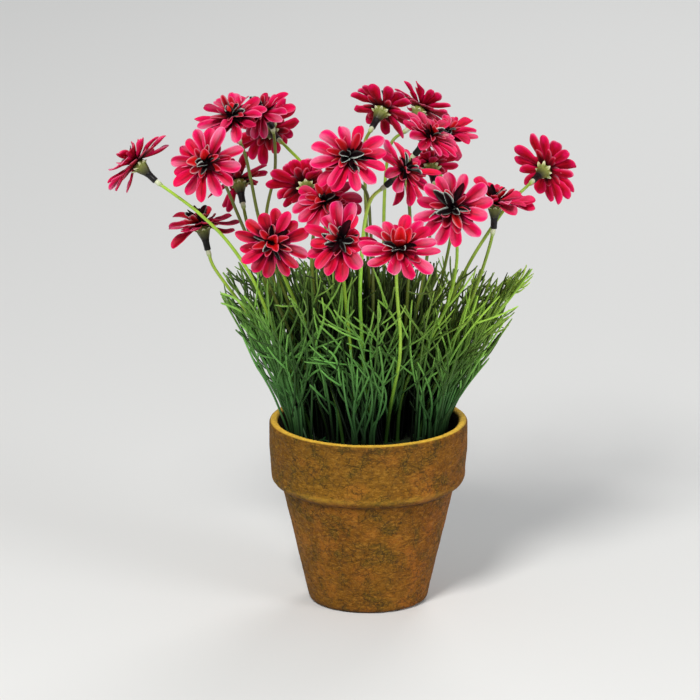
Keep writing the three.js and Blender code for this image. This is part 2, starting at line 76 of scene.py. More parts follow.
# Centre lines of the flower stems in mm, from the planting up to the socket under the flower.
STEMS = {
    "01": [(-29, -7, 77.5), (-29.24, -7.13, 89.44), (-35.74, -10.69, 112.33), (-43.4, -14.93, 134.8), (-51.31, -19.44, 157.12), (-59.98, -23.91, 178.94), (-72.29, -28.04, 198.65), (-86.3, -31.25, 213.79), (-97.73, -32.99, 223.31), (-107.14, -31.34, 229.74)],
    "02": [(-20, -6, 77.5), (-20.19, -6.02, 89.19), (-27.28, -6.77, 111.64), (-35.74, -7.66, 133.67), (-44.8, -8.63, 155.47), (-54.04, -9.61, 177.21), (-63.13, -10.47, 198.99), (-70.79, -11.03, 218.16), (-76.04, -13.13, 231.35), (-78.44, -23.52, 235.28)],
    "03": [(-17, 2, 77.5), (-17.22, 1.99, 89.3), (-24.03, 1.61, 112.05), (-32.12, 1.16, 134.43), (-40.65, 0.67, 156.67), (-48.95, 0.18, 178.98), (-55.74, -0.33, 201.67), (-59.71, -0.92, 221.97), (-62.67, -2.42, 236.26), (-66.06, -6.86, 246.24)],
    "04": [(-9, 10, 77.5), (-9.43, 9.96, 89.53), (-19.67, 9.52, 111.65), (-31.56, 9.07, 133.08), (-43.25, 9.07, 154.55), (-51.63, 10.57, 176.79), (-52.3, 15.12, 199.99), (-48.03, 21.05, 220.53), (-47.86, 25.19, 234.15), (-48.87, 22.66, 244.29)],
    "05": [(-12, 24, 77.5), (-12.06, 23.93, 89.28), (-13.83, 22.84, 112.76), (-15.97, 21.83, 136.2), (-18.23, 22.15, 159.53), (-20.69, 25.27, 182.38), (-25.01, 28.07, 204.42), (-32.59, 26.45, 222.18), (-41.19, 25.31, 232.48), (-45.64, 35.61, 234.27)],
    "06": [(-25, 14, 77.5), (-25, 14, 86.95), (-28.27, 11.81, 105.41), (-33.33, 8.5, 123.28), (-40.27, 4.32, 140.32), (-48.17, 0.73, 157.06), (-55.29, -0.22, 174.27), (-59.99, 1.93, 189.7), (-62.56, 5.92, 200.26), (-64.14, 12.22, 206.61)],
    "07": [(-31, -1, 77.5), (-30.82, -1, 85.54), (-35.27, -1.03, 100.94), (-41.57, -1.08, 115.83), (-48.81, -1.13, 130.33), (-56.75, -1.19, 144.45), (-65.7, -1.27, 157.88), (-73.96, -1.39, 169.31), (-79.42, -0.99, 177.71), (-81.89, 1.43, 184.42)],
    "08": [(-13, -13, 77.5), (-13, -13, 87.03), (-16.21, -13.41, 105.8), (-21.12, -14.14, 124.18), (-27.81, -15.48, 141.93), (-35.41, -18.32, 159.1), (-42.1, -23.66, 175.9), (-46.17, -30.77, 190.12), (-47.85, -38.15, 198.68), (-48.02, -46.93, 201.21)],
    "09": [(-6, -1, 77.5), (-6.13, -1.03, 88.24), (-11.92, -2.68, 108.93), (-18.81, -4.71, 129.33), (-24.97, -6.81, 149.88), (-28.28, -8.6, 170.89), (-28.45, -10.58, 191.4), (-26.6, -16, 206.39), (-25.14, -20.53, 213.97), (-28.3, -10.81, 216.02)],
    "10": [(-1, -8, 77.5), (-0.95, -8.06, 89.29), (0.25, -10.16, 112.76), (1.53, -12.73, 136.19), (2.3, -15.62, 159.59), (2.04, -18.99, 182.89), (0.89, -24.36, 205.42), (-0.72, -32.89, 223.46), (-6.55, -41.22, 233.48), (-10.49, -48.54, 240.05)],
    "11": [(-8, -7, 77.5), (-8, -7, 86.84), (-8.47, -6.68, 105.51), (-9.24, -6.25, 124.17), (-10.41, -5.99, 142.8), (-11.99, -6.8, 161.34), (-13.9, -9.65, 179.59), (-15.74, -14.07, 195.09), (-17.36, -19.09, 205.25), (-19.19, -25.66, 211.01)],
    "12": [(-6, -14, 77.5), (-6, -13.99, 86.63), (-6.66, -15.45, 104.8), (-7.71, -17.86, 122.85), (-9.19, -21.57, 140.62), (-10.84, -26.95, 157.93), (-12.25, -33.96, 174.67), (-13.12, -41.32, 188.72), (-13.52, -48.15, 197.51), (-13.68, -55.87, 201.57)],
    "13": [(9, -13, 77.5), (8.99, -13.01, 86.59), (10.66, -18.57, 103.8), (13.25, -25.87, 120.35), (15.73, -33.7, 136.64), (16.07, -41.76, 152.96), (14.88, -50.01, 169.26), (14.04, -57.75, 183.14), (14.02, -64.97, 191.49), (14.52, -71.54, 197.04)],
    "14": [(3, -12, 77.5), (2.91, -12.08, 88.16), (0.18, -15.33, 109.09), (-2.25, -19.25, 129.93), (-3.69, -23.22, 150.81), (-4.28, -27.12, 171.68), (-3.33, -31.01, 192.54), (-1.75, -34.46, 210.66), (1.51, -37.32, 222.82), (8.31, -40.51, 229.87)],
    "15": [(4, 14, 77.5), (3.96, 13.88, 89.41), (3.05, 10.94, 113.05), (1.95, 7.4, 136.61), (0.81, 3.73, 160.15), (-0.29, 0.19, 183.72), (-1.25, -2.88, 207.34), (-1.86, -4.83, 228.09), (-1.92, -4.99, 242.92), (1.6, 3.61, 248.55)],
    "16": [(10, 25, 77.5), (9.96, 25.05, 88.55), (9.5, 28.69, 110.37), (8.89, 33.09, 132.08), (8.34, 37.85, 153.71), (8.03, 42.77, 175.32), (8.28, 47.76, 196.89), (9.43, 52.14, 215.7), (12.43, 54.98, 228.52), (20.49, 58.75, 233.74)],
    "17": [(15, 7, 77.5), (15.06, 6.81, 89.54), (16.61, 2.29, 113.21), (18.36, -2.77, 136.78), (19.89, -6.98, 160.49), (20.9, -9.62, 184.38), (21.1, -11.04, 207.13), (19.25, -8.12, 222.28), (16.99, -0.51, 228.14), (23.34, -4.98, 236.85)],
    "18": [(15, -9, 77.5), (14.98, -9.1, 88.06), (16.54, -12.66, 108.52), (22.57, -16.71, 127.57), (32.21, -20.76, 145.55), (40.19, -25.1, 164.34), (44.4, -29.76, 184.19), (44.67, -34.19, 201.82), (43.35, -39.21, 213.43), (42.91, -48.54, 217.47)],
    "19": [(26, -5, 77.5), (25.9, -4.95, 86.29), (30.1, -6.79, 103.27), (35.75, -9.25, 119.84), (41.98, -11.99, 136.19), (48.31, -14.84, 152.49), (54.28, -17.74, 168.91), (58.77, -20.33, 183.49), (61.61, -22.19, 194.02), (63.44, -21.83, 202.04)],
    "20": [(31, 8, 77.5), (31.03, 8, 88.79), (33.72, 8.32, 111.22), (37.31, 8.81, 133.5), (42.76, 9.82, 155.18), (51.8, 12.01, 175.29), (63.42, 14.81, 193.73), (73.15, 14.37, 207.74), (78.97, 10.93, 214.14), (84.09, 20.24, 216.57)],
    "21": [(9, -2, 77.5), (9.05, -2.03, 87.99), (13.15, -3.54, 108.55), (18.22, -5.39, 128.91), (23.31, -6.99, 149.28), (27.58, -7.89, 169.85), (30.66, -8.96, 190.53), (32.53, -10.7, 208.42), (33.9, -8.54, 218.48), (33.72, 0.88, 220.3)],
    "22": [(20, 20, 77.5), (20.09, 20.01, 88.28), (24.34, 22.53, 109.32), (29.58, 25.58, 130.12), (35.07, 28.92, 150.83), (40.25, 32.49, 171.53), (43.75, 36.42, 191.78), (42.26, 40.31, 206.7), (37.08, 42.02, 214.49), (38.7, 38.66, 224.22)],
}

# Foliage sprays: stalk centre line in mm, then side threads (share of the stalk, turn, angle off, length).
SPRAYS = [
    ([(-36, -6, 78.5), (-36, -6, 90.5), (-43.07, -5.37, 121.27), (-59.64, -8.66, 145.03), (-75.22, -10, 164.97)],
     [(0.39, 75, 37, 22.3), (0.48, 92, 40, 24.7), (0.58, 146, 38, 26.7), (0.65, 57, 32, 22.1), (0.74, 19, 30, 20.9), (0.88, 220, 26, 17.5)]),
    ([(-37, 7, 78.5), (-37, 7, 90.5), (-42.73, 9.67, 110.64), (-55.7, 13.95, 126.1), (-68.07, 18, 137.92)],
     [(0.4, 315, 41, 20.7), (0.53, 334, 33, 24.5), (0.58, 55, 35, 17.9), (0.69, 291, 41, 21.5), (0.74, 325, 40, 26.7), (0.87, 242, 32, 18.8)]),
    ([(-32, -14, 78.5), (-32, -14, 90.5), (-36.86, -20.29, 122.98), (-49.9, -32.75, 149.66), (-60.98, -45, 171.58)],
     [(0.38, 259, 31, 23.9), (0.5, 162, 41, 18.7), (0.59, 57, 41, 21.9), (0.67, 61, 36, 21), (0.74, 12, 32, 22.8), (0.86, 324, 41, 26.4)]),
    ([(-31, 22, 78.5), (-31, 22, 90.5), (-34.92, 25.07, 120.31), (-44.48, 30.71, 145.46), (-54.78, 35, 166.33)],
     [(0.42, 172, 34, 21), (0.49, 15, 39, 19.5), (0.55, 168, 37, 21.4), (0.67, 237, 29, 17.1), (0.78, 191, 40, 21.2), (0.88, 6, 26, 23)]),
    ([(-18, -19, 78.5), (-18, -19, 90.5), (-22.39, -27.63, 124.86), (-30.02, -43.83, 152.73), (-38.6, -62, 175.3)],
     [(0.38, 24, 28, 20.7), (0.49, 203, 40, 20.7), (0.56, 208, 26, 20.8), (0.67, 139, 27, 22.5), (0.78, 270, 41, 20.5), (0.87, 159, 29, 25.9)]),
    ([(-3, 35, 78.5), (-3, 35, 90.5), (-7.37, 39.78, 119.53), (-14.66, 48.91, 143.3), (-19.77, 58, 163.23)],
     [(0.42, 339, 39, 26.2), (0.47, 6, 29, 21.1), (0.6, 158, 34, 24.6), (0.65, 244, 27, 19.5), (0.79, 246, 32, 19.9), (0.89, 99, 26, 19.5)]),
    ([(-1.95, -18.01, 78.5), (-1.95, -18.01, 90.5), (-4.08, -19.38, 122.77), (-11.14, -18.91, 150.62), (-18.59, -22.04, 173.57)],
     [(0.38, 110, 35, 20), (0.49, 38, 32, 17.3), (0.57, 327, 30, 19.7), (0.69, 318, 31, 20.8), (0.79, 285, 36, 18.8), (0.88, 152, 28, 25.9)]),
    ([(4, -19, 78.5), (4, -19, 90.5), (3, -26.98, 123.78), (4.67, -43.51, 150.11), (4.71, -60, 172.64)],
     [(0.42, 207, 37, 20.9), (0.49, 207, 34, 24.1), (0.62, 305, 32, 20.7), (0.71, 142, 39, 17.9), (0.77, 186, 39, 25.8), (0.83, 222, 36, 18.5)]),
    ([(13, 36, 78.5), (13, 36, 90.5), (12.92, 42.72, 117.82), (16.93, 53.46, 139.96), (16.57, 62, 158.9)],
     [(0.43, 199, 41, 18.9), (0.5, 116, 36, 23.1), (0.59, 117, 34, 20.7), (0.71, 166, 34, 19.6), (0.75, 343, 31, 25.7), (0.87, 353, 29, 26.4)]),
    ([(24, -16, 78.5), (24, -16, 90.5), (25.81, -23.3, 124.58), (28.58, -34.74, 152.95), (33.03, -48, 176.62)],
     [(0.42, 204, 37, 24.2), (0.5, 228, 30, 17.2), (0.6, 171, 40, 19.6), (0.7, 355, 40, 26.6), (0.74, 59, 30, 20.6), (0.85, 225, 33, 24.4)]),
    ([(32, 21, 78.5), (32, 21, 90.5), (35.65, 23.92, 116.88), (45.73, 31.04, 139.09), (54.64, 38, 156.94)],
     [(0.42, 138, 35, 18), (0.48, 80, 31, 20.2), (0.6, 120, 31, 25.3), (0.64, 2, 27, 25.7), (0.78, 262, 41, 19.2), (0.89, 87, 34, 23.8)]),
    ([(38, 2, 78.5), (38, 2, 90.5), (45.62, 2.29, 124.63), (63.56, 1.15, 152.53), (83.16, 2, 174.36)],
     [(0.42, 89, 34, 17.5), (0.48, 353, 40, 22.8), (0.61, 325, 31, 26.8), (0.68, 57, 34, 22.9), (0.79, 242, 27, 23.4), (0.89, 50, 40, 21.3)]),
    ([(34, -9, 78.5), (34, -9, 90.5), (39.16, -11.96, 118.74), (54.31, -19.9, 140.64), (70.9, -28, 157.86)],
     [(0.43, 115, 36, 25.5), (0.52, 223, 42, 17.9), (0.56, 199, 41, 23.9), (0.67, 39, 33, 21.8), (0.77, 223, 30, 25.8), (0.84, 39, 32, 26.4)]),
]


# ------------------------------------------------------------------ camera
ELEVATION = math.radians(16.0)
DISTANCE = 4000.0
PX_PER_UNIT = 4000.0 / 0.5126  # focal length in pixels of the 700-pixel frame
AIM = np.array((-9.4, 0.0, 132.378))
FORWARD = np.array((0.0, math.cos(ELEVATION), -math.sin(ELEVATION)))
UPWARD = np.array((0.0, math.sin(ELEVATION), math.cos(ELEVATION)))
CAMERA_AT = AIM - FORWARD * DISTANCE


def seen_at(p):
    """Where a point in mm lands in the 700 x 700 frame."""
    rel = np.asarray(p, float) - CAMERA_AT
    depth = rel @ FORWARD
    return 350 + PX_PER_UNIT * rel[..., 0] / depth, 350 - PX_PER_UNIT * (rel @ UPWARD) / depth


def from_view(x, y, depth):
    """The point at a place in the 700 x 700 frame whose y coordinate in the row frame is depth."""
    ray = FORWARD + np.array((1.0, 0, 0)) * (x - 350) / PX_PER_UNIT + UPWARD * (350 - y) / PX_PER_UNIT
    return CAMERA_AT + ray * (depth - CAMERA_AT[1]) / ray[1]


cam_data = bpy.data.cameras.new("camera")
cam_data.sensor_width = 36.0
cam_data.lens = 36.0 * PX_PER_UNIT / 700.0
cam_data.clip_start, cam_data.clip_end = 0.1, 60.0
cam = bpy.data.objects.new("camera", cam_data)
bpy.context.scene.collection.objects.link(cam)
cam.location = CAMERA_AT * MM
cam.rotation_euler = (math.pi / 2 - ELEVATION, 0.0, 0.0)
bpy.context.scene.camera = cam


# ------------------------------------------------------------------ small maths
def lin(*rgb):
    """A display colour, 0 to 255, as linear light."""
    c = np.asarray(rgb, float) / 255.0
    return np.where(c <= 0.04045, c / 12.92, ((c + 0.055) / 1.055) ** 2.4)


def smooth(a, b, x):
    t = np.clip((np.asarray(x, float) - a) / (b - a), 0.0, 1.0)
    return t * t * (3 - 2 * t)


def mix(a, b, f):
    f = np.asarray(f, float)[..., None]
    return a * (1 - f) + b * f


def unit(v):
    v = np.asarray(v, float)
    return v / np.linalg.norm(v)


def spline(ctrl, n):
    """n points on a smooth curve through the control points."""
    c = np.asarray(ctrl, float)
    c = np.vstack([2 * c[0] - c[1], c, 2 * c[-1] - c[-2]])
    u = np.linspace(0, len(c) - 3, n)
    i = np.minimum(u.astype(int), len(c) - 4)
    t = (u - i)[:, None]
    a, b, d, e = c[i], c[i + 1], c[i + 2], c[i + 3]
    return 0.5 * (2 * b + (d - a) * t + (2 * a - 5 * b + 4 * d - e) * t**2 + (3 * b - a - 3 * d + e) * t**3)


def frames_along(P):
    """Tangent, normal and side vectors along a line of points, with as little turning as can be."""
    T = np.gradient(P, axis=0)
    T /= np.linalg.norm(T, axis=1)[:, None]
    a = np.array((0.0, 0.0, 1.0)) if abs(T[0, 2]) < 0.9 else np.array((1.0, 0.0, 0.0))
    n = unit(np.cross(T[0], a))
    N = np.empty_like(P)
    for i in range(len(P)):
        n = n - T[i] * (n @ T[i])
        n /= math.sqrt(n @ n)
        N[i] = n
    return T, N, np.cross(T, N)


# ------------------------------------------------------------------ mesh building
class Shape:
    """Collects closed pieces of mesh with a colour, a second value and a map place for every vertex."""

    def __init__(self):
        self.v, self.q, self.t, self.c, self.x, self.uv, self.qm, self.tm = [], [], [], [], [], [], [], []
        self.n = 0

    def add(self, v, quads=None, tris=None, colour=(1, 1, 1), extra=0.0, uv=None, mat=0):
        v = np.asarray(v, float).reshape(-1, 3)
        k = len(v)
        self.v.append(v)
        self.c.append(np.broadcast_to(np.asarray(colour, float), (k, 3)))
        self.x.append(np.broadcast_to(np.asarray(extra, float), (k,)))
        self.uv.append(np.zeros((k, 2)) if uv is None else np.asarray(uv, float).reshape(-1, 2))
        if quads is not None and len(quads):
            self.q.append(np.asarray(quads, np.int64) + self.n)
            self.qm.append(np.full(len(quads), mat))
        if tris is not None and len(tris):
            self.t.append(np.asarray(tris, np.int64) + self.n)
            self.tm.append(np.full(len(tris), mat))
        self.n += k

    def build(self, name, materials, slot, replaces=(), flat=False):
        V = np.vstack(self.v)
        Q = np.vstack(self.q) if self.q else np.zeros((0, 4), np.int64)
        T = np.vstack(self.t) if self.t else np.zeros((0, 3), np.int64)
        me = bpy.data.meshes.new(name)
        loops = np.concatenate([Q.ravel(), T.ravel()]).astype(np.int32)
        me.vertices.add(len(V))
        me.vertices.foreach_set("co", (V * MM).astype(np.float32).ravel())
        me.loops.add(len(loops))
        me.loops.foreach_set("vertex_index", loops)
        me.polygons.add(len(Q) + len(T))
        start = np.concatenate([np.arange(len(Q)) * 4, len(Q) * 4 + np.arange(len(T)) * 3]).astype(np.int32)
        me.polygons.foreach_set("loop_start", start)
        index = np.concatenate([*(self.qm or [np.zeros(0)]), *(self.tm or [np.zeros(0)])]).astype(np.int32)
        me.polygons.foreach_set("material_index", index)
        me.update(calc_edges=True)
        me.polygons.foreach_set("use_smooth", np.full(len(Q) + len(T), not flat))
        colours = me.attributes.new("Col", "FLOAT_COLOR", "POINT")
        C = np.ones((len(V), 4), np.float32)
        C[:, :3] = np.vstack(self.c)
        colours.data.foreach_set("color", C.ravel())
        extra = me.attributes.new("Extra", "FLOAT", "POINT")
        extra.data.foreach_set("value", np.concatenate(self.x).astype(np.float32))
        uv = me.uv_layers.new(name="UVMap")
        uv.data.foreach_set("uv", np.vstack(self.uv)[loops].astype(np.float32).ravel())
        for m in materials:
            me.materials.append(m)
        me.validate()
        ob = bpy.data.objects.new(name, me)
        bpy.context.scene.collection.objects.link(ob)
        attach(ob, "root")
        if replaces:
            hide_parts(*replaces)
        return ob


_ring_cache = {}


def tube_faces(n, m):
    if (n, m) not in _ring_cache:
        i, j = np.meshgrid(np.arange(n - 1), np.arange(m), indexing="ij")
        k = (j + 1) % m
        quads = np.stack([i * m + j, i * m + k, (i + 1) * m + k, (i + 1) * m + j], -1).reshape(-1, 4)
        j = np.arange(m)
        k = (j + 1) % m
        tris = np.vstack(
            [
                np.stack([np.full(m, n * m), k, j], 1),
                np.stack([np.full(m, n * m + 1), (n - 1) * m + j, (n - 1) * m + k], 1),
            ]
        )
        _ring_cache[n, m] = quads, tris
    return _ring_cache[n, m]


def tube(shape, P, R, m, colour, extra=0.0, mat=0, phase=0.0, ribs=0.0, round_start=False, round_end=True):
    """A closed tube of m sides along P. Its ends are rounded off where asked for."""
    P, R = np.asarray(P, float), np.broadcast_to(np.asarray(R, float), (len(P),)).copy()
    C = np.broadcast_to(np.asarray(colour, float), (len(P), 3))
    X = np.broadcast_to(np.asarray(extra, float), (len(P),))
    if round_end:
        t = unit(P[-1] - P[-2])
        P = np.vstack([P, P[-1] + t * R[-1] * 0.5, P[-1] + t * R[-1] * 0.8])
        R = np.append(R, [R[-1] * 0.8, R[-1] * 0.42])
        C, X = np.vstack([C, C[-1], C[-1]]), np.append(X, [X[-1], X[-1]])
    if round_start:
        t = unit(P[0] - P[1])
        P = np.vstack([P[0] + t * R[0] * 0.8, P[0] + t * R[0] * 0.5, P])
        R = np.append([R[0] * 0.42, R[0] * 0.8], R)
        C, X = np.vstack([C[0], C[0], C]), np.append([X[0], X[0]], X)
    n = len(P)
    T, N, B = frames_along(P)
    a = phase + np.arange(m) * 2 * math.pi / m
    wide = R[:, None] * (1 + ribs * np.where(np.arange(m) % 2, 1.0, -1.0))[None, :]
    ring = N[:, None, :] * np.cos(a)[None, :, None] + B[:, None, :] * np.sin(a)[None, :, None]
    V = (P[:, None, :] + ring * wide[:, :, None]).reshape(-1, 3)
    ends = np.array([P[0] - T[0] * R[0] * 0.12, P[-1] + T[-1] * R[-1] * 0.12])
    quads, tris = tube_faces(n, m)
    shape.add(
        np.vstack([V, ends]),
        quads,
        tris,
        np.vstack([np.repeat(C, m, axis=0), C[0], C[-1]]),
        np.concatenate([np.repeat(X, m), [X[0], X[-1]]]),
        mat=mat,
    )


def lathe(shape, profile, m, place, colour, extra=0.0, mat=0, ribs=None):
    """A closed body of turning. profile holds (radius, height) from the axis to the axis; place(x, y, z) puts it."""
    prof = np.asarray(profile, float)
    inner = prof[1:-1]
    a = np.arange(m) * 2 * math.pi / m
    rad = np.repeat(inner[:, :1], m, axis=1)
    if ribs is not None:
        rad = rad * ribs(a[None, :], inner[:, 1:2])
    x, y = rad * np.cos(a), rad * np.sin(a)
    z = np.repeat(inner[:, 1:2], m, axis=1)
    local = np.stack([x, y, z], -1).reshape(-1, 3)
    local = np.vstack([local, (0, 0, prof[0, 1]), (0, 0, prof[-1, 1])])
    C = np.broadcast_to(np.asarray(colour, float), (len(inner), 3))
    quads, tris = tube_faces(len(inner), m)
    shape.add(
        place(local), quads, tris, np.vstack([np.repeat(C, m, axis=0), C[0], C[-1]]),
        extra, mat=mat,
    )


# ------------------------------------------------------------------ materials
def new_material(name):
    m = bpy.data.materials.new(name)
    m.use_nodes = True
    nt = m.node_tree
    shader = next(n for n in nt.nodes if n.type == "BSDF_PRINCIPLED")
    return m, nt, shader


class Graph:
    """Short ways to make and join nodes."""

    def __init__(self, nt):
        self.nt = nt

    def node(self, kind, **values):
        n = self.nt.nodes.new(kind)
        for k, v in values.items():
            setattr(n, k, v)
        return n

    def link(self, a, b):
        self.nt.links.new(a, b)

    def put(self, socket, value):
        if isinstance(value, bpy.types.NodeSocket):
            self.link(value, socket)
        else:
            socket.default_value = value

    def attribute(self, name):
        return self.node("ShaderNodeAttribute", attribute_name=name)

    def coords(self, kind="Object", scale=(1, 1, 1)):
        c = self.node("ShaderNodeTexCoord")
        m = self.node("ShaderNodeMapping")
        m.inputs["Scale"].default_value = scale
        self.link(c.outputs[kind], m.inputs["Vector"])
        return m.outputs["Vector"]

    def noise(self, vector, scale, detail=3.0, rough=0.55, distortion=0.0):
        n = self.node("ShaderNodeTexNoise")
        self.link(vector, n.inputs["Vector"])
        n.inputs["Scale"].default_value = scale
        n.inputs["Detail"].default_value = detail
        n.inputs["Roughness"].default_value = rough
        n.inputs["Distortion"].default_value = distortion
        return n.outputs["Fac"]

    def voronoi(self, vector, scale, feature="DISTANCE_TO_EDGE", randomness=1.0):
        n = self.node("ShaderNodeTexVoronoi", feature=feature)
        self.link(vector, n.inputs["Vector"])
        n.inputs["Scale"].default_value = scale
        n.inputs["Randomness"].default_value = randomness
        return n.outputs["Distance"]

    def wave(self, vector, scale, direction="X", distortion=0.0):
        n = self.node("ShaderNodeTexWave", bands_direction=direction)
        self.link(vector, n.inputs["Vector"])
        n.inputs["Scale"].default_value = scale
        n.inputs["Distortion"].default_value = distortion
        return n.outputs["Fac"]

    def math(self, op, a, b=0.0, clamp=False):
        n = self.node("ShaderNodeMath", operation=op, use_clamp=clamp)
        self.put(n.inputs[0], a)
        self.put(n.inputs[1], b)
        return n.outputs[0]

    def ramp(self, value, lo, hi, out_lo=0.0, out_hi=1.0):
        n = self.node("ShaderNodeMapRange", clamp=True, interpolation_type="SMOOTHSTEP")
        self.put(n.inputs["Value"], value)
        n.inputs["From Min"].default_value = lo
        n.inputs["From Max"].default_value = hi
        n.inputs["To Min"].default_value = out_lo
        n.inputs["To Max"].default_value = out_hi
        return n.outputs["Result"]

    def mix(self, factor, a, b, blend="MIX"):
        n = self.node("ShaderNodeMix", data_type="RGBA", blend_type=blend)
        self.put(n.inputs["Factor"], factor)
        sockets = [s for s in n.inputs if s.type == "RGBA"]
        for s, v in zip(sockets, (a, b)):
            self.put(s, tuple(v) + (1.0,) if not isinstance(v, bpy.types.NodeSocket) and len(v) == 3 else v)
        return next(s for s in n.outputs if s.type == "RGBA")

    def add_vectors(self, a, b, scale):
        s = self.node("ShaderNodeVectorMath", operation="SCALE")
        self.put(s.inputs[0], b)
        s.inputs["Scale"].default_value = scale
        n = self.node("ShaderNodeVectorMath", operation="ADD")
        self.put(n.inputs[0], a)
        self.link(s.outputs[0], n.inputs[1])
        return n.outputs[0]

    def scaled(self, vector, factors):
        n = self.node("ShaderNodeVectorMath", operation="MULTIPLY")
        self.link(vector, n.inputs[0])
        n.inputs[1].default_value = factors
        return n.outputs[0]

    def bump(self, height, distance, strength=1.0, normal=None):
        n = self.node("ShaderNodeBump")
        n.inputs["Distance"].default_value = distance
        n.inputs["Strength"].default_value = strength
        self.put(n.inputs["Height"], height)
        if normal is not None:
            self.link(normal, n.inputs["Normal"])
        return n.outputs["Normal"]


def petal_cloth():
    """Printed, die-cut silk cloth: fine weave and a chalky frost where the second value says so."""
    m, nt, s = new_material("petal_cloth")
    g = Graph(nt)
    colour, frost = g.attribute("Col").outputs["Color"], g.attribute("Extra").outputs["Fac"]
    uv = g.coords("UV")
    ob = g.coords("Object")
    streak = g.node("ShaderNodeMapping")
    streak.inputs["Scale"].default_value = (2.6, 0.35, 1.0)
    g.link(uv, streak.inputs["Vector"])
    veins = g.noise(streak.outputs["Vector"], 1.0, 3.0, 0.6)
    blot = g.noise(ob, 420.0, 2.0, 0.6)
    c = g.mix(g.ramp(veins, 0.38, 0.72, 0.0, 0.42), colour, g.mix(1.0, colour, (0.62, 0.42, 0.50), "MULTIPLY"))
    c = g.mix(g.ramp(blot, 0.52, 0.74, 0.0, 0.20), c, g.mix(1.0, c, (1.25, 1.6, 1.5), "MULTIPLY"))
    grain = g.noise(ob, 2600.0, 2.0, 0.7)
    dust = g.math("MULTIPLY", frost, g.ramp(grain, 0.34, 0.56, 0.30, 1.0), clamp=True)
    c = g.mix(dust, c, lin(224, 236, 226))
    g.link(c, s.inputs["Base Color"])
    weft = g.wave(uv, 3.2, "X")
    warp = g.wave(uv, 3.2, "Y")
    weave = g.math("ADD", weft, warp)
    h = g.math("ADD", g.math("MULTIPLY", weave, 0.35), g.math("MULTIPLY", veins, 2.2))
    h = g.math("ADD", h, g.math("MULTIPLY", dust, g.math("MULTIPLY", grain, 3.0)))
    g.link(g.bump(h, 0.00009, 0.8), s.inputs["Normal"])
    g.link(g.ramp(veins, 0.2, 0.8, 0.52, 0.70), s.inputs["Roughness"])
    s.inputs["Sheen Weight"].default_value = 0.0
    s.inputs["Sheen Roughness"].default_value = 0.4
    s.inputs["Sheen Tint"].default_value = (1.0, 0.72, 0.82, 1.0)
    s.inputs["Specular IOR Level"].default_value = 0.07
    return m


def plastic(name, rough=(0.34, 0.5), grain=0.00004, spec=0.5, tone=0.35):
    """Moulded plastic in the mesh's own colours, with faint flow marks and dull patches."""
    m, nt, s = new_material(name)
    g = Graph(nt)
    colour = g.attribute("Col").outputs["Color"]
    ob = g.coords("Object")
    patches = g.noise(ob, 160.0, 3.0, 0.6)
    fine = g.noise(ob, 900.0, 2.0, 0.6)
    c = g.mix(g.ramp(patches, 0.35, 0.7, 0.0, tone), colour, g.mix(1.0, colour, (0.55, 0.68, 0.62), "MULTIPLY"))
    c = g.mix(g.ramp(fine, 0.55, 0.75, 0.0, 0.25), c, g.mix(1.0, c, (1.35, 1.25, 1.3), "MULTIPLY"))
    g.link(c, s.inputs["Base Color"])
    g.link(g.ramp(fine, 0.3, 0.7, rough[0], rough[1]), s.inputs["Roughness"])
    g.link(g.bump(g.math("ADD", fine, patches), grain, 1.0), s.inputs["Normal"])
    s.inputs["Specular IOR Level"].default_value = spec
    return m


def socket_plastic():
    m, nt, s = new_material("socket_gloss")
    g = Graph(nt)
    ob = g.coords("Object")
    fine = g.noise(ob, 700.0, 3.0, 0.6)
    g.link(g.mix(g.ramp(fine, 0.3, 0.8), lin(9, 8, 9), lin(26, 23, 24)), s.inputs["Base Color"])
    g.link(g.ramp(fine, 0.3, 0.8, 0.30, 0.50), s.inputs["Roughness"])
    s.inputs["Specular IOR Level"].default_value = 0.3
    g.link(g.bump(fine, 0.00005, 1.0), s.inputs["Normal"])
    return m


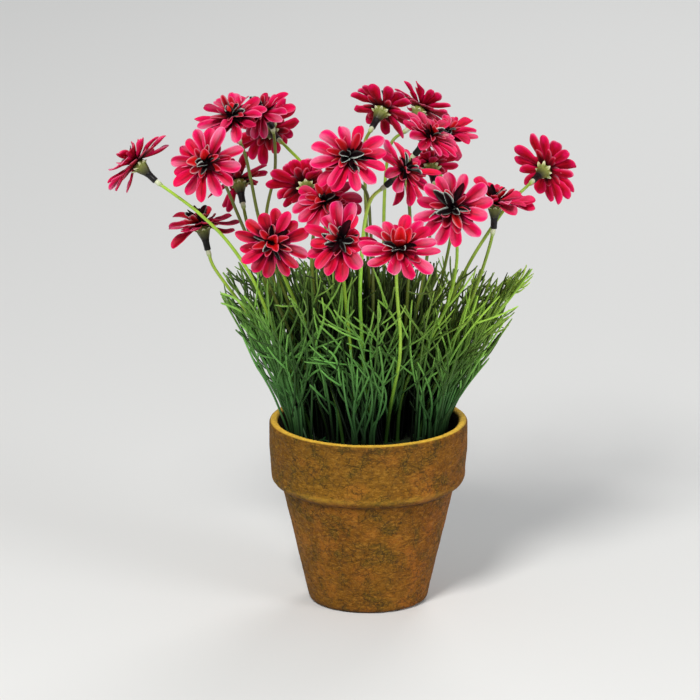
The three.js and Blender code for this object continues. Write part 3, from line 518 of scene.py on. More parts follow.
def clay():
    """Rust and ochre washed over a crackled clay body."""
    m, nt, s = new_material("aged_clay")
    g = Graph(nt)
    zone, rim_and_edge_highlight = g.attribute("Col").outputs["Color"], g.attribute("Extra").outputs["Fac"]
    ob = g.coords("Object")
    wide = g.noise(ob, 26.0, 3.0, 0.55, 0.4)
    mid = g.noise(ob, 95.0, 4.0, 0.62, 0.6)
    small = g.noise(ob, 400.0, 3.0, 0.6)
    speck = g.noise(ob, 1100.0, 2.0, 0.6)
    bent = g.node("ShaderNodeTexNoise")
    g.link(ob, bent.inputs["Vector"])
    bent.inputs["Scale"].default_value = 150.0
    bent.inputs["Detail"].default_value = 3.0
    warped = g.add_vectors(ob, bent.outputs["Color"], 0.010)
    cells = g.voronoi(warped, 190.0)
    cells2 = g.voronoi(warped, 420.0)
    scrape = g.node("ShaderNodeTexNoise")
    g.link(g.scaled(ob, (1.0, 1.0, 2.6)), scrape.inputs["Vector"])
    scrape.inputs["Scale"].default_value = 330.0
    scrape.inputs["Detail"].default_value = 4.0
    scrape.inputs["Roughness"].default_value = 0.65
    scrape.inputs["Distortion"].default_value = 0.9
    scrape = scrape.outputs["Fac"]
    rust, ochre, olive = lin(118, 68, 12), lin(132, 90, 18), lin(92, 74, 18)
    c = g.mix(g.ramp(wide, 0.30, 0.72, 0.25, 0.75), rust, ochre)
    c = g.mix(g.ramp(mid, 0.46, 0.68, 0.0, 0.75), c, olive)
    patch = g.noise(g.add_vectors(ob, bent.outputs["Color"], 0.006), 62.0, 3.0, 0.55)
    c = g.mix(g.ramp(patch, 0.50, 0.68, 0.0, 0.68), c, lin(164, 100, 30))
    c = g.mix(g.ramp(scrape, 0.50, 0.66, 0.0, 0.66), c, lin(168, 118, 40))
    c = g.mix(g.ramp(scrape, 0.34, 0.47, 0.74, 0.0), c, lin(74, 50, 14))
    c = g.mix(g.ramp(small, 0.30, 0.44, 0.22, 0.0), c, lin(84, 56, 14))
    crack = g.math("MAXIMUM", g.ramp(cells, 0.0, 0.055, 1.0, 0.0), g.ramp(cells2, 0.0, 0.06, 0.6, 0.0))
    crack = g.math("MULTIPLY", crack, g.ramp(mid, 0.36, 0.60, 0.25, 1.0))
    c = g.mix(g.math("MULTIPLY", crack, 0.75), c, lin(54, 36, 14))
    c = g.mix(g.ramp(speck, 0.60, 0.74, 0.0, 0.4), c, lin(180, 134, 50))
    c = g.mix(1.0, c, zone, "MULTIPLY")
    # painted highlight: bright yellow, mottled, on the rim and along the band's lower edge
    c = g.mix(g.math("MULTIPLY", rim_and_edge_highlight, g.ramp(small, 0.30, 0.62, 0.75, 1.0)), c, lin(255, 205, 74))
    g.link(c, s.inputs["Base Color"])
    h = g.math("ADD", g.math("MULTIPLY", small, 1.2), g.math("MULTIPLY", speck, 0.5))
    h = g.math("ADD", h, g.math("MULTIPLY", mid, 1.5))
    h = g.math("SUBTRACT", h, g.math("MULTIPLY", crack, 0.75))
    g.link(g.bump(h, 0.00035, 0.9), s.inputs["Normal"])
    g.link(g.ramp(small, 0.3, 0.7, 0.66, 0.9), s.inputs["Roughness"])
    s.inputs["Specular IOR Level"].default_value = 0.18
    return m


def moss():
    m, nt, s = new_material("dark_moss")
    g = Graph(nt)
    ob = g.coords("Object")
    a, b = g.noise(ob, 140.0, 4.0, 0.65), g.noise(ob, 900.0, 3.0, 0.7)
    c = g.mix(g.ramp(a, 0.35, 0.65), lin(16, 18, 12), lin(33, 46, 24))
    c = g.mix(g.ramp(b, 0.55, 0.75, 0.0, 0.7), c, lin(58, 74, 36))
    c = g.mix(1.0, c, g.attribute("Col").outputs["Color"], "MULTIPLY")
    g.link(c, s.inputs["Base Color"])
    g.link(g.bump(g.math("ADD", a, b), 0.0009, 1.0), s.inputs["Normal"])
    s.inputs["Roughness"].default_value = 0.95
    s.inputs["Specular IOR Level"].default_value = 0.15
    return m


PETAL, CALYX, SOCKET = petal_cloth(), plastic("calyx_plastic", (0.42, 0.6), 0.00008, 0.4, 0.5), socket_plastic()
STEM, LEAF = plastic("stem_plastic", (0.30, 0.46), 0.00004, 0.55, 0.3), plastic("leaf_plastic", (0.42, 0.60), 0.00005, 0.2, 0.4)
CLAY, MOSS = clay(), moss()


# ------------------------------------------------------------------ petals
COLS = np.array((-1, -0.93, -0.76, -0.5, -0.22, 0, 0.22, 0.5, 0.76, 0.93, 1.0))
COLS_SMALL = np.array((-1, -0.88, -0.5, 0, 0.5, 0.88, 1.0))


def petal(shape, place, rng, azimuth, length, width, r0=1.6, z0=2.0, lift=5.0, curl=0.0, tip_curl=0.0, cup=0.5,
          twist=0.0, sway=0.0, neck=0.32, peak=0.64, point=2.0, thick=0.24, ruffle=0.22, groove=0.16, lip=0.16,
          paint=None, small=False, rows=None, notch=0.0, wave=0.0, mat=0):
    """One cloth petal: a thin closed sheet, curved along and across, placed round the flower's axis. Angles in degrees.
    lift is the mean angle of the petal over the flower's plane, from its foot to its tip."""
    t = COLS_SMALL if small else COLS
    rows = rows or (10 if small else 16)
    s = np.sin(np.linspace(0, 1, rows) * math.pi / 2)
    s[-1] = 1.0
    past = np.clip((s - peak) / (1 - peak), 0, 1)
    half = width / 2 * (neck + (1 - neck) * smooth(0.0, peak, s)) * np.sqrt(np.clip(1 - past**point, 0.004, 1))
    phi = np.radians(lift + curl * (s - 0.5) + tip_curl * (smooth(0.55, 1.0, s) - 0.225) + wave * np.sin(2 * math.pi * s))
    ds = np.diff(s)
    r = r0 + length * np.concatenate([[0], np.cumsum(ds * (np.cos(phi[1:]) + np.cos(phi[:-1])) / 2)])
    z = z0 + length * np.concatenate([[0], np.cumsum(ds * (np.sin(phi[1:]) + np.sin(phi[:-1])) / 2)])
    S, T = np.meshgrid(s, t, indexing="ij")
    W = np.repeat(half[:, None], len(t), 1)
    k = cup * (0.25 + 0.75 * smooth(0.0, 0.35, S)) * (1 - 0.25 * S)
    k = np.where(np.abs(k) < 1e-3, 1e-3, k)
    lat = W * np.sin(k * T) / k
    nor = W * (1 - np.cos(k * T)) / k
    p1, p2 = rng.uniform(0, 2 * math.pi, 2)
    nor = nor - groove * np.exp(-((T / 0.2) ** 2)) * smooth(0.05, 0.3, S) * (1 - smooth(0.75, 1, S))
    nor = nor + lip * smooth(0.7, 1.0, np.abs(T)) * smooth(0.25, 0.5, S)
    nor = nor + ruffle * np.sin(2 * math.pi * 1.5 * S + np.where(T > 0, p1, p2)) * np.abs(T) ** 2.5 * smooth(0.2, 0.6, S)
    tw = np.radians(twist) * S
    lat, nor = lat * np.cos(tw) - nor * np.sin(tw), lat * np.sin(tw) + nor * np.cos(tw)
    lat = lat + sway * length * S * (S - 0.6)
    az = math.radians(azimuth)
    er, el, up = np.array((math.cos(az), math.sin(az), 0)), np.array((-math.sin(az), math.cos(az), 0)), np.array((0, 0, 1.0))
    Nr, Nz = -np.sin(phi)[:, None], np.cos(phi)[:, None]
    along = np.zeros_like(S)
    if notch:
        along = notch * smooth(0.8, 1.0, S) * (0.6 * np.sin(6 * T + p2) + 0.5 * np.sin(11 * T + p1) - 0.4)
    P = (
        (r[:, None] + nor * Nr + along * np.cos(phi)[:, None])[..., None] * er
        + lat[..., None] * el
        + (z[:, None] + nor * Nz + along * np.sin(phi)[:, None])[..., None] * up
    )
    normal = np.cross(np.gradient(P, axis=0), np.gradient(P, axis=1))
    size = np.linalg.norm(normal, axis=-1, keepdims=True)
    fallback = Nr[..., None] * er + Nz[..., None] * up
    normal = np.where(size > 1e-9, normal / np.maximum(size, 1e-9), fallback)
    top, low = place((P + normal * thick / 2).reshape(-1, 3)), place((P - normal * thick / 2).reshape(-1, 3))
    n, m = len(s), len(t)
    i, j = np.meshgrid(np.arange(n - 1), np.arange(m - 1), indexing="ij")
    a, b, c, d = i * m + j, (i + 1) * m + j, (i + 1) * m + j + 1, i * m + j + 1
    face = np.stack([a, b, c, d], -1).reshape(-1, 4)
    k = n * m
    i = np.arange(n - 1)
    j = np.arange(m - 1)
    e = m - 1
    f = (n - 1) * m
    quads = np.vstack(
        [
            face,
            face[:, ::-1] + k,
            np.stack([i * m, i * m + k, (i + 1) * m + k, (i + 1) * m], 1),
            np.stack([(i + 1) * m + e, (i + 1) * m + e + k, i * m + e + k, i * m + e], 1),
            np.stack([j, j + 1, j + 1 + k, j + k], 1),
            np.stack([f + j + 1, f + j, f + j + k, f + j + 1 + k], 1),
        ]
    )
    edge = np.minimum(W * (1 - np.abs(T)), (1 - S) * length * 0.9)
    ct, xt = paint(S, T, edge, True, rng)
    cl, xl = paint(S, T, edge, False, rng)
    uv = np.stack([W * T + 20 * (azimuth % 7), S * length + 30 * (azimuth % 5)], -1).reshape(-1, 2)
    shape.add(
        np.vstack([top, low]),
        quads,
        None,
        np.vstack([ct.reshape(-1, 3), cl.reshape(-1, 3)]),
        np.concatenate([xt.ravel(), xl.ravel()]),
        np.vstack([uv, uv]),
        mat,
    )


HOT, PINK, HIGHLIGHT_ROSE = lin(246, 4, 92), lin(252, 26, 116), lin(255, 164, 198)
CRIMSON, RED, BLOOD, MAROON = lin(176, 6, 36), lin(230, 20, 20), lin(112, 0, 16), lin(36, 0, 8)
WINE, BLACK, FROST = lin(70, 2, 20), lin(7, 2, 5), lin(224, 236, 226)


def outer_paint(painted_highlight=0.4, deep=0.0, red=0.2, foot=0.2, pink=0.5):
    """Outer petal: crimson along its middle with painted shade along its middle crease, hot pink towards its rim, dark
    at its foot. The first argument sets the painted highlight (a pinker rim and pale rose painted on the lip and over
    one side), deep darkens the whole as painted shade, red warms it, foot is how far the dark foot reaches and pink how
    wide the pink rim is."""

    def paint(S, T, edge, face, rng):
        a, b, side = rng.uniform(0, 6.28), rng.uniform(0, 6.28), rng.choice([-1, 1])
        bend = 0.05 * np.sin(4 * T + a)
        streak = 0.5 + 0.5 * np.sin(9 * T + a + 1.3 * np.sin(5 * S + b))
        rim = np.exp(-((edge / (0.45 + 1.1 * pink)) ** 2)) * smooth(0.22, 0.45, S)
        tip = smooth(0.92 - 0.45 * pink, 1.0, S + bend)
        if face:
            low = mix(CRIMSON, RED, red)
            c = mix(MAROON, low, smooth(foot - 0.10, foot + 0.16, S + bend))
            c = mix(c, mix(c, HOT, 0.55 * pink), smooth(0.30, 0.60, S + bend))
            c = mix(c, CRIMSON, 0.35 * streak * (1 - smooth(0.6, 1.0, S)) * (1 - 0.6 * red))
            # painted shade along the middle crease of the face
            c = c * (1 - 0.50 * np.exp(-((T / 0.16) ** 2)) * smooth(0.15, 0.35, S) * (1 - smooth(0.72, 0.98, S)))[..., None]
            # painted highlight: a pinker rim, then pale rose over one side of the face and along the lip
            c = mix(c, mix(HOT, PINK, np.clip(painted_highlight, 0, 1)), np.clip(np.maximum(rim, tip) * (0.95 - 0.3 * red), 0, 1))
            side_highlight = painted_highlight * smooth(0.40, 0.88, S) * np.clip(0.25 + 0.70 * side * np.sin(2.4 * T + 0.3) + 0.2 * streak, 0, 1)
            lip = np.exp(-((edge / 0.42) ** 2)) * smooth(0.30, 0.58, S) * (-0.05 + 1.0 * painted_highlight) * (0.7 + 0.3 * side * np.sign(T))
            c = mix(c, HIGHLIGHT_ROSE, np.clip(np.maximum(side_highlight * 0.5 * (1 - 0.6 * red), lip), 0, 1))
            # painted shade: deep darkens the whole face
            c = c * (1 - 0.55 * deep)
        else:
            c = mix(BLOOD, CRIMSON, smooth(0.05, 0.40, S))
            c = mix(c, lin(200, 6, 36), smooth(0.35, 0.60, S) * (0.5 + 0.5 * streak))
            # painted shade along the middle crease of the back
            c = c * (1 - 0.42 * np.exp(-((T / 0.20) ** 2)) * (1 - smooth(0.7, 0.95, S)))[..., None]
            c = mix(c, mix(HOT, PINK, 0.4), np.clip(np.maximum(rim, tip), 0, 1) * 0.85)
            # painted highlight: pale rose along the lip of the back
            lip = np.exp(-((edge / 0.45) ** 2)) * smooth(0.45, 0.75, S) * (-0.05 + 0.75 * painted_highlight)
            c = mix(c, HIGHLIGHT_ROSE, np.clip(lip, 0, 1))
            # painted shade: deep darkens the whole back
            c = c * (1 - 0.3 * deep)
        return np.clip(c, 0, 1), np.zeros_like(S)

    return paint


def middle_paint(red=0.7, frost_amount=0.0, dark=0.0):
    """Shorter inner petal: red, with a dark foot and here and there a frosted lip."""

    def paint(S, T, edge, face, rng):
        a = rng.uniform(0, 6.28)
        c = mix(lin(40, 2, 10), mix(CRIMSON, RED, red), smooth(0.12, 0.50, S))
        c = mix(c, mix(RED, HOT, 0.5), smooth(0.6, 1.0, S) * 0.5)
        c = mix(c, BLACK, dark * (1 - smooth(0.45, 0.95, S + 0.1 * np.sin(5 * T + a))))
        # painted shade along the middle crease
        c = c * (1 - 0.35 * np.exp(-((T / 0.2) ** 2)))[..., None]
        # painted highlight: pale rose along the edges
        c = mix(c, HIGHLIGHT_ROSE, np.exp(-((edge / 0.34) ** 2)) * smooth(0.4, 0.7, S) * 0.35)
        f = np.exp(-((edge / 0.34) ** 2)) * smooth(0.35, 0.6, S) * frost_amount * (0.6 + 0.4 * np.sin(6 * S + a))
        return np.clip(c, 0, 1), np.clip(f, 0, 1)

    return paint


def crown_paint(frost_amount=1.0, wine=0.4, red=0.0):
    """Pointed inmost petal: near black to wine or red, with a chalky pale outline where it is frosted."""

    def paint(S, T, edge, face, rng):
        a = rng.uniform(0, 6.28)
        c = mix(BLACK, WINE, wine * smooth(0.2, 0.9, S) * (0.6 + 0.4 * np.sin(4 * T + a)))
        c = mix(c, RED, red * smooth(0.25, 0.6, S))
        one_side = np.clip(0.55 + 0.8 * np.sign(np.sin(a)) * T + 0.25 * np.sin(7 * S + a), 0.05, 1)
        f = np.exp(-((edge / 0.36) ** 2)) * smooth(0.12, 0.4, S) * frost_amount * one_side
        return np.clip(c, 0, 1), np.clip(f * 1.4, 0, 1)

    return paint


def sepal_paint(S, T, edge, face, rng):
    c = mix(lin(100, 114, 42), lin(176, 180, 100), smooth(0.2, 0.7, S))
    # painted highlight: paler towards the tips; the next line makes them darker along the middle
    c = mix(c, lin(238, 234, 196), smooth(0.45, 0.9, S) * 0.9)
    c = c * (1 - 0.25 * np.exp(-((T / 0.25) ** 2)))[..., None]
    return c, np.zeros_like(S)


def placer(origin, axis):
    """Local flower coordinates (x to the picture's right in the petal plane, z along the axis) to the row frame."""
    n = unit(axis)
    ex = np.array((1.0, 0, 0)) - n * n[0]
    ex = unit(ex)
    ey = np.cross(n, ex)
    M = np.stack([ex, ey, n])
    o = np.asarray(origin, float)
    return lambda v: o + np.asarray(v, float) @ M


def ring(count, start, jitter, rng):
    return [start + 360.0 * i / count + rng.uniform(-jitter, jitter) for i in range(count)]


def reach_for(key, base, tip, length, limit=38.0, shortest=0.62, upward=False):
    """Turn, rise and length of a petal that starts at height base on the axis and ends at a place in the picture."""
    p, axis, _ = HEADS[key]
    n = unit(axis)
    o = np.asarray(p, float) + n * base
    ox, oy = seen_at(o)
    mm = float((o - CAMERA_AT) @ FORWARD) / PX_PER_UNIT
    flat = np.array((1.0, 0, 0)) * (tip[0] - ox) * mm + UPWARD * (oy - tip[1]) * mm
    rho = float(np.linalg.norm(flat))
    ex = unit(np.array((1.0, 0, 0)) - n * n[0])
    ey = np.cross(n, ex)
    best = None
    for share in np.linspace(1.0, shortest, 9):
        L = length * share
        w = math.sqrt(max(0.0, L * L - rho * rho))
        for sign in (1, -1):
            v = flat - FORWARD * w * sign
            if rho >= L:
                v = flat * L / rho
            rise = math.degrees(math.asin(max(-1.0, min(1.0, float(v @ n) / L))))
            turn = math.degrees(math.atan2(float(v @ ey), float(v @ ex)))
            cost = abs(rise - (45 if upward else 4)) + 60 * (1 - share) + (1000 if upward and rise < 0 else 0)
            if not upward and abs(rise) > limit:
                cost += 4 * (abs(rise) - limit)
            if best is None or cost < best[0]:
                best = (cost, turn, rise, L)
    return best[1:]


def facing(axis, turn, rise):
    """How far a turn of a petal about its own length brings its face round to the camera, from -1 to 1."""
    n = unit(axis)
    ex = unit(np.array((1.0, 0, 0)) - n * n[0])
    a, e = math.radians(turn), math.radians(rise)
    flat = ex * math.cos(a) + np.cross(n, ex) * math.sin(a)
    along, normal = flat * math.cos(e) + n * math.sin(e), n * math.cos(e) - flat * math.sin(e)
    return float(np.cross(normal, -FORWARD) @ along)


# Petal tips of each flower as they lie in the view, with a kind: l pale with painted highlight, d deep in painted
# shade, r red, w wide, n narrow, s short.
TIPS = {
    "01": "166,136 169,146l 109,189lw 116,191 127,192lw 111,170lw 120,152rs 133,147r 143,139r 122,165l",
    "02": "244,147l 224.5,128lw 210,127.5w 196.5,128l 184,138rs 178,148l 171,160lw 173,186 186,196.5d 199,202.5 219,197lw 234,186l 241,168.5l",
    "03": "193,117.5n 197,127l 205,105dn 216.5,100lw 235,92lww 262,116l 255,127dn 239,143.5l 224.5,129 246,97 215,132",
    "04": "279,96lw 289,95 298,107.5 287.5,113.5l 281,123.5l 265.5,139l 256,139.6lw 249,136l 268,101w 246,124",
    "05": "299.5,120 293,135.5 278,152.5 263.5,165.7w 250,159 296,107w 236,142d",
    "06": "266,173.7 260.7,167 246,151d 255,183 224.5,208.6 230,214 206,200.5 228,160d",
    "07": "171,251ww 168.3,227.3l 172.5,215d 240,222.6n 232,214 207,204r 236,232n 190,214d",
    "08": "234.6,234 239.3,250 253.3,273d 268.7,278dw 287.5,277d 297,269dn 308.3,255.4lw 309.2,232.7 298.2,220.6w 277.4,207.2 262,212w 244.4,219.3",
    "09": "265,182 276.5,198 283.5,206.6 283.5,167l 293,160.4w 305,159 310,159l 317,173 271,172d 300,213d",
    "10": "309.4,145.6lw 321,132lw 342,126lw 362.3,126.2r 383.7,136.2lw 310,164.6l 319,187w 335.5,192.8w 356.3,191.8 376.4,183.8lww 385,170 328,186n",
    "11": "291.3,210lww 299.4,222lww 310,234lww 298,200lw 318,193s 364,199lw 366,212w 357,224",
    "12": "334,201lw 353,202lw 356,215rs 310,245.4rs 315.4,267.5 326.2,277 343.6,282.2w 359,269.5lww 324,216l 362,248r 359,231rs",
    "13": "357,243.6lw 362,254lw 365.7,227.3l 383.7,221.3l 405.8,214rw 422,219.3l 440.3,253.4n 432.2,273.5lw 411.2,280 392.4,275lw 369,267lw 437,241l 395,224r",
    "14": "381.7,133.6lwwt 394.5,141.3r 383.7,176.7d 396,194lw 389,208.8rd 410.5,208.6w 420.6,200.5w 428,184.5 443,172r 420,160d 408,148",
    "15": "350.3,95 370.4,84ww 358,90w 390,87.8w 403.8,94.7lw 410.5,103.4 353,107.5 366.3,122.2 407.2,125lw 403,142d 384,134d",
    "16": "404,81.6r 418,82.7r 432,90rn 441.3,94lr 450,105.4r 448,113.5r 409,108.8l 396,97r",
    "17": "410,138.3lww 425.3,118.6rw 411.2,121.5l 438,155.7l 452.7,135l 446.7,120.2 441,143r 421,151",
    "18": "448.7,170.8lww 425.3,184.5l 466.8,173l 488.5,184.5lww 494.6,202lww 487.5,218.6lw 478.2,238.3lww 456,247.7w 438,246.7lw 417.2,238w 411.2,222.6l 416,200d",
    "19": "536.4,199.8wwt 535,209.5wwt 514,216.3wt 521.6,193.7wt 509.4,205lw 475.7,175.3r 489,180.4r 501.2,185.5r 465,196 470,209d",
    "20": "510.4,145.2ww 514.5,157n 520,171.2s 530.3,132.4lw 544,135.3 557.3,142.7lw 566.5,151.3 575.2,165w 573.7,176.3l 575.2,191.6w 572.7,200.3 560.4,209.8w 550.2,201n 537.4,193sw",
    "21": "446,172.4r 424,155 434.6,159d 415,165 447,160 421,178",
    "22": "470.8,119.2w 476.4,131.6w 469.2,144w 459,162w 456,116.8 446.7,114.2l 428,124 437,152",
}
# Inmost petals that stand out, the same way: f frosted outline, h faint frost, k black, v wine, r red, o long.
CROWNS = {
    "01": "121.4,160.4f 130,147v 139,150k 126,155k",
    "02": "211,154k 220.5,159k 196.4,160.4f 199,167f 203,174k 214,171v 206,150r 184.4,160rh",
    "03": "226,105.4f 238,104f 244,111f 231,103r 228.6,124k 240,121k 247,117v",
    "04": "248.7,96h 254,92f 259.4,100f 262,104k 252,104v",
    "07": "185.7,207k 180,209f 194,205k 199,208v 206,205v",
    "08": "272,226k 254,236k 293,239k 279,261k 264,252f 285,249k 264.7,240.7k 275.4,235.3r 277.4,251r 268,246r 287,229k",
    "10": "339.6,153.7f 342.2,162f 363,155f 375.7,160.4ko 357,173.7f 347.6,149.6k 352,166k 326.2,171rho",
    "11": "320,196h 341,197k 328,212k 334,193v 316,203r",
    "12": "327.5,224f 322,236f 326.2,246f 347.6,219.3vo 353,240.7h 341.6,227.3f 358,236k 345,252k 334,252v",
    "13": "383.7,244.7f 394.5,251.4f 416,244.7ko 405.2,249.4f 401.8,226ro 410.5,229ro 391.8,230ro 400,240r",
    "14": "405.2,153f 420.6,173.7f 418.6,167f 391.8,172.4k 401.2,159k 412,160v 404,181k",
    "16": "441,97f 436,99r 444,103r 438,107k",
    "17": "424,131k 444,128.2f 431,126v 441,134k 436,128r",
    "18": "434.6,189.8fo 445.3,192.5f 462.8,179vo 426,218.6fo 470,209h 437.3,215.3f 458.7,214f 455,203k 447,205k",
    "19": "503.3,187.5k 505.3,190.6f 480,183v 492,184k 486,188v",
    "22": "450.7,135f 445.3,130.9h 455,130k 443,127v",
}


# How wide the pink rim of the petals is, and how far their dark foot reaches, where it is not the usual fifth.
PINKS = {"08": 0.12, "10": 0.75, "12": 0.5, "13": 0.65, "18": 0.6, "02": 0.6, "03": 0.8, "04": 0.7, "11": 0.6, "14": 0.5, "07": 0.15, "09": 0.3, "01": 0.5}
# Heads whose filled-in petals stay short, so that none stands out over the others.
TUCKED = {"04": 0.64}
FOOT = {"08": 0.52, "12": 0.36, "18": 0.38, "02": 0.26, "10": 0.26, "14": 0.28, "17": 0.24, "03": 0.26}


def flower(key):
    _, axis, R = HEADS[key]
    rng = np.random.default_rng(1000 + int(key))
    place = placer(HEADS[key][0], axis)
    k = R / 20.0
    away = float(unit(axis) @ FORWARD)
    show = 38 * max(0.0, 1 - abs(away) / 0.6)

    outer = Shape()
    turns = []
    for n, item in enumerate(TIPS[key].split()):
        x, rest = item.split(",")
        y = rest.rstrip("ldrwnst")
        kind = rest[len(y):]
        layer = n % 2
        base = 2.4 + 0.7 * layer
        length = R * (0.80 if "s" in kind else 1.03)
        turn, rise, L = reach_for(key, base, (float(x), float(y)), length)
        turns.append(turn)
        # painted highlight on l petals and painted shade on d petals, with a little of each at random on the rest
        painted_highlight = 0.95 if "l" in kind else rng.uniform(0.15, 0.5)
        deep = rng.uniform(0.35, 0.6) if "d" in kind else rng.uniform(0.0, 0.12)
        width = rng.uniform(6.1, 7.0) * k * (1 + 0.10 * kind.count("w") - 0.22 * kind.count("n"))
        tip_curl = rng.choice([-20, -8, 6, 18, 30]) * rng.uniform(0.6, 1.2)
        petal(
            outer, place, rng, turn, L - 1.5 * math.cos(math.radians(rise)), width, r0=1.5, z0=base, lift=rise, curl=rng.uniform(-28, 32),
            tip_curl=tip_curl, cup=rng.uniform(0.55, 1.25) * (1 if away < 0.3 else 0.8), twist=rng.uniform(-20, 20) + (show + (26 if "t" in kind else 0)) * facing(axis, turn, rise), sway=rng.uniform(-0.15, 0.15),
            neck=rng.uniform(0.24, 0.34), peak=rng.uniform(0.64, 0.75), point=rng.uniform(2.1, 3.2), ruffle=rng.uniform(0.25, 0.6),
            wave=rng.uniform(-6, 6), paint=outer_paint(painted_highlight, deep, 0.9 if "r" in kind else rng.choice([rng.uniform(0.0, 0.3), rng.uniform(0.4, 0.8)], p=[0.7, 0.3]), FOOT.get(key, 0.2), PINKS.get(key, 0.5) * rng.uniform(0.8, 1.2)),
        )
    turns.sort()
    for i, a in enumerate(turns):
        b = turns[(i + 1) % len(turns)] + (360 if i + 1 == len(turns) else 0)
        gap = b - a
        extra = int(gap / 27 - 0.45) if gap > 38 else 0
        for j in range(extra):
            # random amounts of painted highlight and painted shade on the filled-in petals
            petal(
                outer, place, rng, a + gap * (j + 1) / (extra + 1) + rng.uniform(-4, 4), R * rng.uniform(0.88, 0.98) * TUCKED.get(key, 1.0) - 1.5, rng.uniform(6.0, 6.8) * k,
                r0=1.5, z0=2.4, lift=rng.uniform(-6, 12), curl=rng.uniform(-14, 14), tip_curl=rng.uniform(-20, 24), cup=rng.uniform(0.4, 0.9),
                twist=rng.uniform(-14, 14), sway=rng.uniform(-0.08, 0.08), neck=0.3, peak=0.66, point=rng.uniform(1.8, 2.5),
                ruffle=rng.uniform(0.12, 0.34), paint=outer_paint(rng.uniform(0.1, 0.6), rng.uniform(0, 0.3), rng.uniform(0, 0.5)),
            )
    # short dark petals that show in the gaps near the middle
    for az in ring(9, rng.uniform(0, 60), 9, rng):
        petal(
            outer, place, rng, az, R * rng.uniform(0.44, 0.62), rng.uniform(4.4, 5.6) * k, r0=1.0, z0=2.0, lift=rng.uniform(-8, 8), curl=rng.uniform(-10, 20),
            cup=0.6, twist=rng.uniform(-20, 20), neck=0.45, peak=0.55, point=1.8, ruffle=0.2, small=True, rows=8,
            paint=middle_paint(rng.uniform(0.0, 0.3), 0.0, rng.uniform(0.6, 1.0)),
        )
    outer.build("petals_outer_" + key, [PETAL], "petal_fabric", ["flower_head_" + key])

    inner = Shape()
    for az in ring(6, rng.uniform(0, 60), 16, rng):
        petal(
            inner, place, rng, az, R * rng.uniform(0.42, 0.60), rng.uniform(3.6, 4.8) * k, r0=1.0, z0=3.4,
            lift=rng.uniform(16, 44), curl=rng.uniform(-20, 40), tip_curl=rng.uniform(-40, 30),
            cup=rng.uniform(0.7, 1.5), twist=rng.uniform(-40, 40), sway=rng.uniform(-0.2, 0.2), neck=0.42,
            peak=rng.uniform(0.5, 0.65), point=rng.uniform(1.4, 2.2), ruffle=rng.uniform(0.1, 0.35), small=True,
            paint=middle_paint(rng.uniform(0.2, 0.9), 0.5 * (rng.uniform() < 0.2), rng.uniform(0, 0.8)),
        )
    if key in CROWNS:
        for item in CROWNS[key].split():
            x, rest = item.split(",")
            y = rest.rstrip("fhkvro")
            kind = rest[len(y):]
            long = "o" in kind
            turn, rise, L = reach_for(key, 3.4, (float(x), float(y)), R * (0.66 if long else 0.50), 60, 0.5, upward=True)
            frost = 1.0 if "f" in kind else (0.5 if "h" in kind else rng.choice([0.0, 0.25], p=[0.7, 0.3]))
            red = 0.95 if "r" in kind else 0.0
            petal(
                inner, place, rng, turn, L, rng.uniform(3.6, 4.8) * k * (0.62 if "k" in kind else (1.35 if "r" in kind else 1)), r0=0.5, z0=3.4, lift=rise, curl=rng.uniform(-45, 5),
                tip_curl=rng.uniform(-40, 25), cup=rng.uniform(0.5, 1.1), twist=rng.uniform(-25, 25) + 42 * facing(axis, turn, rise), sway=rng.uniform(-0.25, 0.25), neck=0.45,
                peak=rng.uniform(0.42, 0.58), point=rng.uniform(1.2, 1.8), ruffle=0.22, small=True, rows=12,
                paint=middle_paint(0.95, frost * 0.9, 0.1) if red else crown_paint(frost, rng.uniform(0.7, 1.0) if "v" in kind else rng.uniform(0.0, 0.4)),
            )
    else:
        for az in ring(6, rng.uniform(0, 60), 14, rng):
            petal(
                inner, place, rng, az, R * rng.uniform(0.34, 0.5), rng.uniform(3.0, 4.2) * k, r0=0.7, z0=3.4, lift=rng.uniform(35, 65),
                curl=rng.uniform(-45, 15), tip_curl=rng.uniform(-40, 10), cup=rng.uniform(0.6, 1.4), twist=rng.uniform(-35, 35),
                sway=rng.uniform(-0.2, 0.2), neck=0.5, peak=0.46, point=1.3, ruffle=0.2, small=True,
                paint=crown_paint(rng.choice([0.0, 0.5, 1.0]), rng.uniform(0.0, 0.9)),
            )
    for az in ring(9, rng.uniform(0, 60), 18, rng):
        petal(
            inner, place, rng, az, rng.uniform(2.8, 4.9) * k, rng.uniform(1.7, 2.7), r0=0.3, z0=3.2,
            lift=rng.uniform(22, 80), curl=rng.uniform(-60, 40), cup=1.4, twist=rng.uniform(-70, 70), neck=0.6, peak=0.5,
            point=1.4, ruffle=0.15, small=True, rows=7, paint=crown_paint(0.5 * (rng.uniform() < 0.15), rng.uniform(0, 0.5)),
        )
    dome = [(0, 2.0), (1.9, 2.2), (2.6, 2.9), (2.4, 3.8), (1.3, 4.5), (0, 4.8)]
    lathe(inner, dome, 12, place, BLACK)
    inner.build("petals_inner_" + key, [PETAL], "petal_fabric")

    green = Shape()
    rng = np.random.default_rng(5000 + int(key))
    prof = [(0, -6.0), (1.5, -6.0), (1.9, -5.5), (2.2, -4.4), (2.6, -3.0), (3.1, -1.4), (3.5, 0.1), (3.5, 1.0), (3.1, 1.6), (1.8, 1.9), (0, 1.9)]
